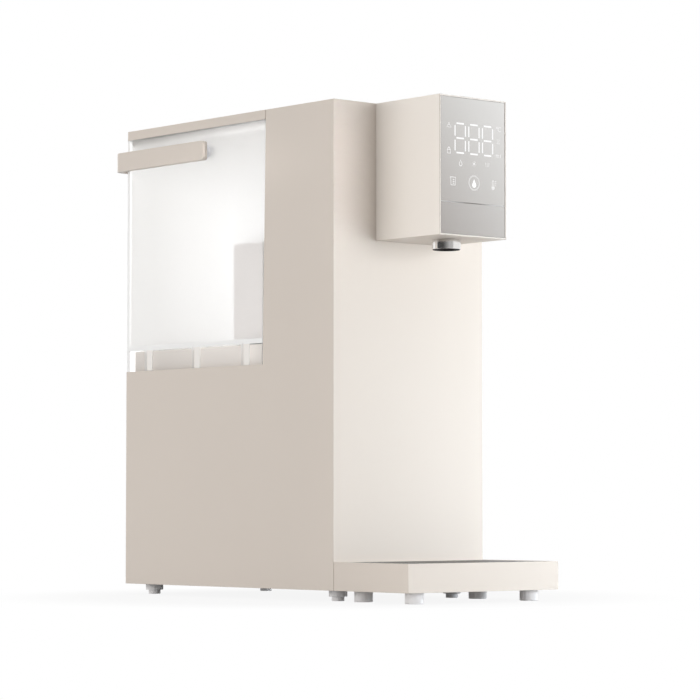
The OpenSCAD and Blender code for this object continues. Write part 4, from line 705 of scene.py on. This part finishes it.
for i in range(outletPlan["vanes"]):
    vane = bmesh.new()
    barAt(vane, outletPlan["vaneCentre"], outletPlan["vaneSize"], outletPlan["vaneEdge"])
    turn = Matrix.Rotation(i * 2 * pi / outletPlan["vanes"], 3, "Z")
    bmesh.ops.rotate(vane, verts=vane.verts, cent=(0, 0, 0), matrix=turn)
    bmesh.ops.translate(vane, verts=vane.verts, vec=Vector(outletPlan["centre"]) * mm)
    absorb(bm, vane)
streamInsert = newPiece("streamInsert", bm, "outletBlack", "housing", ("outlet_insert",))
for piece in (outletRing, streamInsert):  # no shadow of theirs on the column
    piece.visible_shadow = False
print("outlet made")

# feet: turned cups, rubber pads with a ring groove, plain tray feet with soft edges
feetPlan = {
    "housing": [(x, y) for x in (-66.8, 66.8) for y in (-88.8, 175.5)],
    "tray": [(x, y) for x in (-66.8, 66.8) for y in (-187.3, -122.4)],
}
cupProfile = [(0, 12.0), (3.9, 12.0), (3.9, 9.45), (7.8, 9.45), (8.1, 9.2), (8.1, 4.1), (7.8, 3.8),
              (5.7, 3.8), (5.7, 5.0), (0, 5.0)]
padProfile = [(0, 5.6), (5.4, 5.6), (5.5, 5.2), (5.5, 0.3), (5.2, 0), (4.0, 0), (3.8, 0.4), (3.2, 0.4),
              (3.0, 0), (0, 0)]
trayProfile = [(0, 11.8), (3.9, 11.8), (3.9, 9.45), (7.7, 9.45), (8.0, 9.1), (8.0, 0.4), (7.6, 0),
               (5.8, 0), (5.5, 0.5), (4.4, 0.5), (4.1, 0), (0, 0)]


def feet(name, profile, places, finish, body, node):
    bm = bmesh.new()
    for x, y in places:
        absorb(bm, turned(profile, (x, y, 0), 40))
    newPiece(name, bm, finish, body, (node,))


feet("footCups", cupProfile, feetPlan["housing"], "footCup", "housing", "foot_cups")
feet("footPads", padProfile, feetPlan["housing"], "footPad", "housing", "foot_pads")
feet("trayFeet", trayProfile, feetPlan["tray"], "trayFoot", "drip_tray", "tray_feet")
print("feet made")

# cross-head screws in the rear cover, and the hidden ones behind the head
screwPlan = {
    "rear": [(x, z) for x in (-80.7, 80.7) for z in (35.5, 190.0)],
    "head": [(x, z) for x in (-34.0, 34.0) for z in (317.5, 418.5)],
    "rearFace": 195.0,
    "headFace": -102.5,
}
screwProfile = [(0, 0), (1.9, 0), (2.4, -0.25), (2.8, -0.8), (2.8, -2.0), (1.4, -2.0), (1.4, -12.6),
                (0.9, -13.4), (0, -13.4)]
crossPlan = {"reach": 1.45, "half": 0.3, "deep": 1.1}  # recess of the head, mm


def crossScrew(x, face, z):
    bm = turned(screwProfile, (0, 0, 0), 24, "Y")
    cap = [f for f in bm.faces if all(abs(v.co.y) < mergeGap for v in f.verts)]
    bmesh.ops.delete(bm, geom=cap, context="FACES")
    reach, half, deep = (crossPlan[key] * mm for key in ("reach", "half", "deep"))
    corner = [(reach, half), (half, half), (half, reach)]
    plan = []
    for turn in range(4):
        for a, b in corner:
            spot = Matrix.Rotation(turn * pi / 2, 2) @ Vector((a, b))
            plan.append(bm.verts.new((spot.x, 0, spot.y)))
    cross = [bm.edges.new((plan[i], plan[(i + 1) % len(plan)])) for i in range(len(plan))]
    rim = [e for e in bm.edges if e.is_boundary and e not in cross]
    bmesh.ops.triangle_fill(bm, use_beauty=True, edges=rim + cross)
    floor = bmesh.ops.extrude_edge_only(bm, edges=cross)["geom"]
    floorVerts = [v for v in floor if isinstance(v, bmesh.types.BMVert)]
    bmesh.ops.translate(bm, verts=floorVerts, vec=(0, -deep, 0))
    bmesh.ops.contextual_create(bm, geom=[e for e in floor if isinstance(e, bmesh.types.BMEdge)])
    bmesh.ops.recalc_face_normals(bm, faces=bm.faces)
    bmesh.ops.translate(bm, verts=bm.verts, vec=Vector((x, face, z)) * mm)
    return bm


bm = bmesh.new()
for row in ("rear", "head"):
    for x, z in screwPlan[row]:
        absorb(bm, crossScrew(x, screwPlan[row + "Face"], z))
newPiece("coverScrews", bm, "screwSteel", "housing", ("housing_screws",))

# cord gland with grip rings, mm
glandPlan = {
    "place": (0, 193, 36.5),
    "profile": [(3.8, -6.5), (10.5, -6.5), (10.5, -2.5), (7.9, -2.5), (7.9, 0.0), (10.5, 0.0), (10.5, 1.6),
                (10.1, 2.0), (7.2, 2.0), (6.9, 2.6), (6.2, 2.8), (6.2, 3.4), (6.7, 3.6), (6.7, 4.2),
                (6.0, 4.4), (6.0, 5.0), (6.3, 5.2), (6.2, 5.8), (5.6, 6.0), (3.8, 6.0)],
}
bm = turned(glandPlan["profile"], glandPlan["place"], along="Y")
newPiece("cordGland", bm, "black", "housing", ("cord_gland",))
print("fittings made")

# solids that keep their own shape, with their finishes
keptNodes = {
    "base": ["base_plate"],
    "darkGrey": ["pump_bracket", "manifold_stand", "filter_manifold", "dock_sockets"],
    "silicone": ["lid_seal"],
    "seal": ["filter_seals", "valve_seals", "pump_mounts"],
    "white": ["solenoid_valves", "pure_water_tank", "board_bracket", "valve_bodies", "valve_poppets"],
    "black": ["pump_head", "delivery_pump", "board_parts"],
    "motorSteel": ["pump_motor", "water_heater", "heater_clamps", "valve_springs"],
    "board": ["display_board", "main_board"],
    "touchPad": ["touch_pads"],
    "guide": ["light_guide"],
    "hose": ["dock_hoses", "pump_hoses", "pure_hose", "feed_hoses", "outlet_hose"],
}
for finish, nodes in keptNodes.items():
    for node in nodes:
        for holder in frame["nodes"][node].material_slots:
            holder.material = finishes[finish]
print("solids kept:", sum(len(nodes) for nodes in keptNodes.values()))

# studio: pale floor, soft lamps, white surroundings
studio = {
    "floorSize": 14,
    "floorMatt": 0.52,
    "floorGlow": 0.9,  # share of plain white in the floor by the object, all white further out
    "glowReach": (0.18, 0.34),
    "ambient": 0.34,
    "lamps": {
        # name: place, aim, width, height, watts, colour
        "keyLamp": ((0.72, -3.1, 0.5), (0, -0.12, 0.2), 1.5, 1.1, 57, (0.94, 0.97, 1.0)),
        "nearLamp": ((0.45, -0.42, 0.08), (0, -0.12, 0.08), 0.25, 0.4, 2.6, (0.84, 0.93, 1.0)),
        "sideLamp": ((-2.2, 0.4, 0.3), (0, 0.05, 0.15), 2.2, 1.1, 11, (1.0, 0.99, 0.98)),
        "tankLamp": ((-2.2, 0.4, 0.3), (0, 0.05, 0.15), 2.2, 1.1, 26, (1.0, 0.99, 0.98)),
        "noseLamp": ((-1.0, -0.34, 0.2), (-0.04, -0.24, 0.2), 0.12, 0.7, 0.085, (1.0, 0.985, 0.97)),
        "cornerLamp": ((-0.12, -1.7, 0.415), (-0.09, 0.0, 0.415), 0.03, 0.24, 0.0075, (1.0, 0.98, 0.96)),
        "bailLamp": ((-0.4, -1.2, 0.385), (-0.093, 0.035, 0.385), 0.03, 0.03, 0.0028, (1.0, 0.98, 0.96)),
        "topLamp": ((0.0, 0.2, 2.4), (0, 0.05, 0.2), 2.2, 2.2, 13, (1.0, 1.0, 1.0)),
        "backLamp": ((0.8, 2.4, 1.25), (0, 0.1, 0.3), 2.0, 2.0, 10, (1.0, 1.0, 1.0)),
    },
    "wide": 180,  # spread in degrees of all lamps but the narrow ones
    "narrow": {"noseLamp": 18, "cornerLamp": 4, "bailLamp": 3},
    "inGloss": ("backLamp",),  # lamps that reflections show
    "inGlass": ("tankLamp", "backLamp"),  # lamps that shine through glass
    # card that the polished ring reflects: dark, then grey from its middle on
    "flag": {"place": (-0.2505, -0.4946, 0.36), "aim": (0.0772, -0.2652, 0.36), "size": (1.93, 0.7),
             "dark": 0.056, "grey": 0.5, "turn": (-0.2, 0.18)},
    # small white card beside the ring, for the light line at its left
    "glint": {"place": (-0.0232, -0.1262, 0.302), "aim": (-0.0123, -0.153, 0.302), "size": (0.0165, 0.02),
              "white": 1.1},
}
plainWhite = (1, 1, 1, 1)
plainBlack = (0, 0, 0, 1)


def aimed(name, data, place, aim):
    holder = bpy.data.objects.new(name, data)
    holder.location = place
    holder.rotation_euler = (Vector(aim) - Vector(place)).to_track_quat("-Z", "Y").to_euler()
    scene.collection.objects.link(holder)
    holder.visible_camera = False
    return holder


for name, (place, aim, width, height, watts, colour) in studio["lamps"].items():
    lampData = bpy.data.lights.new(name, "AREA")
    lampData.shape = "RECTANGLE"
    lampData.size = width
    lampData.size_y = height
    lampData.energy = watts
    lampData.color = colour
    lampData.spread = radians(studio["narrow"].get(name, studio["wide"]))
    lamp = aimed(name, lampData, place, aim)
    lamp.visible_glossy = name in studio["inGloss"]
    lamp.visible_transmission = name in studio["inGlass"]


def seenRays(tree):  # 1 where the camera, a reflection or a refraction looks
    path = addNode(tree, "LightPath").outputs
    seen = calc(tree, "MAXIMUM", path["Is Camera Ray"], path["Is Glossy Ray"])
    return calc(tree, "MAXIMUM", seen, path["Is Transmission Ray"])


def grey(level):
    return (level, level, level, 1)


world = bpy.data.worlds.new("studioWorld")
scene.world = world
world.use_nodes = True
sky = world.node_tree
sky.nodes.clear()
ambient = addNode(sky, "Background", {"Color": plainWhite, "Strength": studio["ambient"]})
white = addNode(sky, "Background", {"Color": plainWhite, "Strength": 1.0})
either = addNode(sky, "MixShader", {0: seenRays(sky), 1: ambient.outputs[0], 2: white.outputs[0]})
addNode(sky, "OutputWorld", {"Surface": either.outputs[0]})

floorFinish = bpy.data.materials.new("floorWhite")
floorFinish.use_nodes = True
ground = floorFinish.node_tree
ground.nodes.clear()
matt = addNode(ground, "BsdfDiffuse", {"Color": grey(studio["floorMatt"])})
glow = addNode(ground, "Emission", {"Color": plainWhite, "Strength": 1.0})
away = addNode(ground, "VectorMath", {0: objectSpot(ground)}, operation="LENGTH").outputs["Value"]
share = mapped(ground, away, *studio["glowReach"], start=studio["floorGlow"], interpolation_type="SMOOTHSTEP")
share = calc(ground, "MULTIPLY", seenRays(ground), share)
either = addNode(ground, "MixShader", {0: share, 1: matt.outputs[0], 2: glow.outputs[0]})
addNode(ground, "OutputMaterial", {"Surface": either.outputs[0]})


def stagePlane(name, finish, width, depth):
    mesh = bpy.data.meshes.new(name)
    bm = bmesh.new()
    bmesh.ops.create_grid(bm, x_segments=1, y_segments=1, size=0.5)
    bmesh.ops.scale(bm, verts=bm.verts, vec=(width, depth, 1))
    bm.to_mesh(mesh)
    bm.free()
    mesh.materials.append(finish)
    return mesh


floorMesh = stagePlane("floor", floorFinish, studio["floorSize"], studio["floorSize"])
floor = bpy.data.objects.new("floor", floorMesh)
scene.collection.objects.link(floor)

card = studio["flag"]
flagFinish, shade, flagShader = newFinish("flagGrey", Base_Color=plainBlack, Roughness=0.9,
                                          Emission_Strength=1.0)
share = mapped(shade, spotParts(shade)["X"], *card["turn"])
ramp = mixed(shade, share, grey(card["dark"]), grey(card["grey"]))
shade.links.new(ramp, flagShader.inputs["Emission Color"])
flag = aimed("flag", stagePlane("flag", flagFinish, *card["size"]), card["place"], card["aim"])
strip = studio["glint"]
glintFinish, shade, glintShader = newFinish("glintWhite", Base_Color=plainBlack, Emission_Color=plainWhite,
                                            Emission_Strength=strip["white"])
facing = addNode(shade, "NewGeometry").outputs["Backfacing"]  # only the side towards the ring is there
shade.links.new(facing, glintShader.inputs["Alpha"])
glint = aimed("glint", stagePlane("glint", glintFinish, *strip["size"]), strip["place"], strip["aim"])
for board in (flag, glint):  # only reflections show them
    board.visible_diffuse = False
    board.visible_shadow = False
    board.visible_transmission = False
print("studio set")
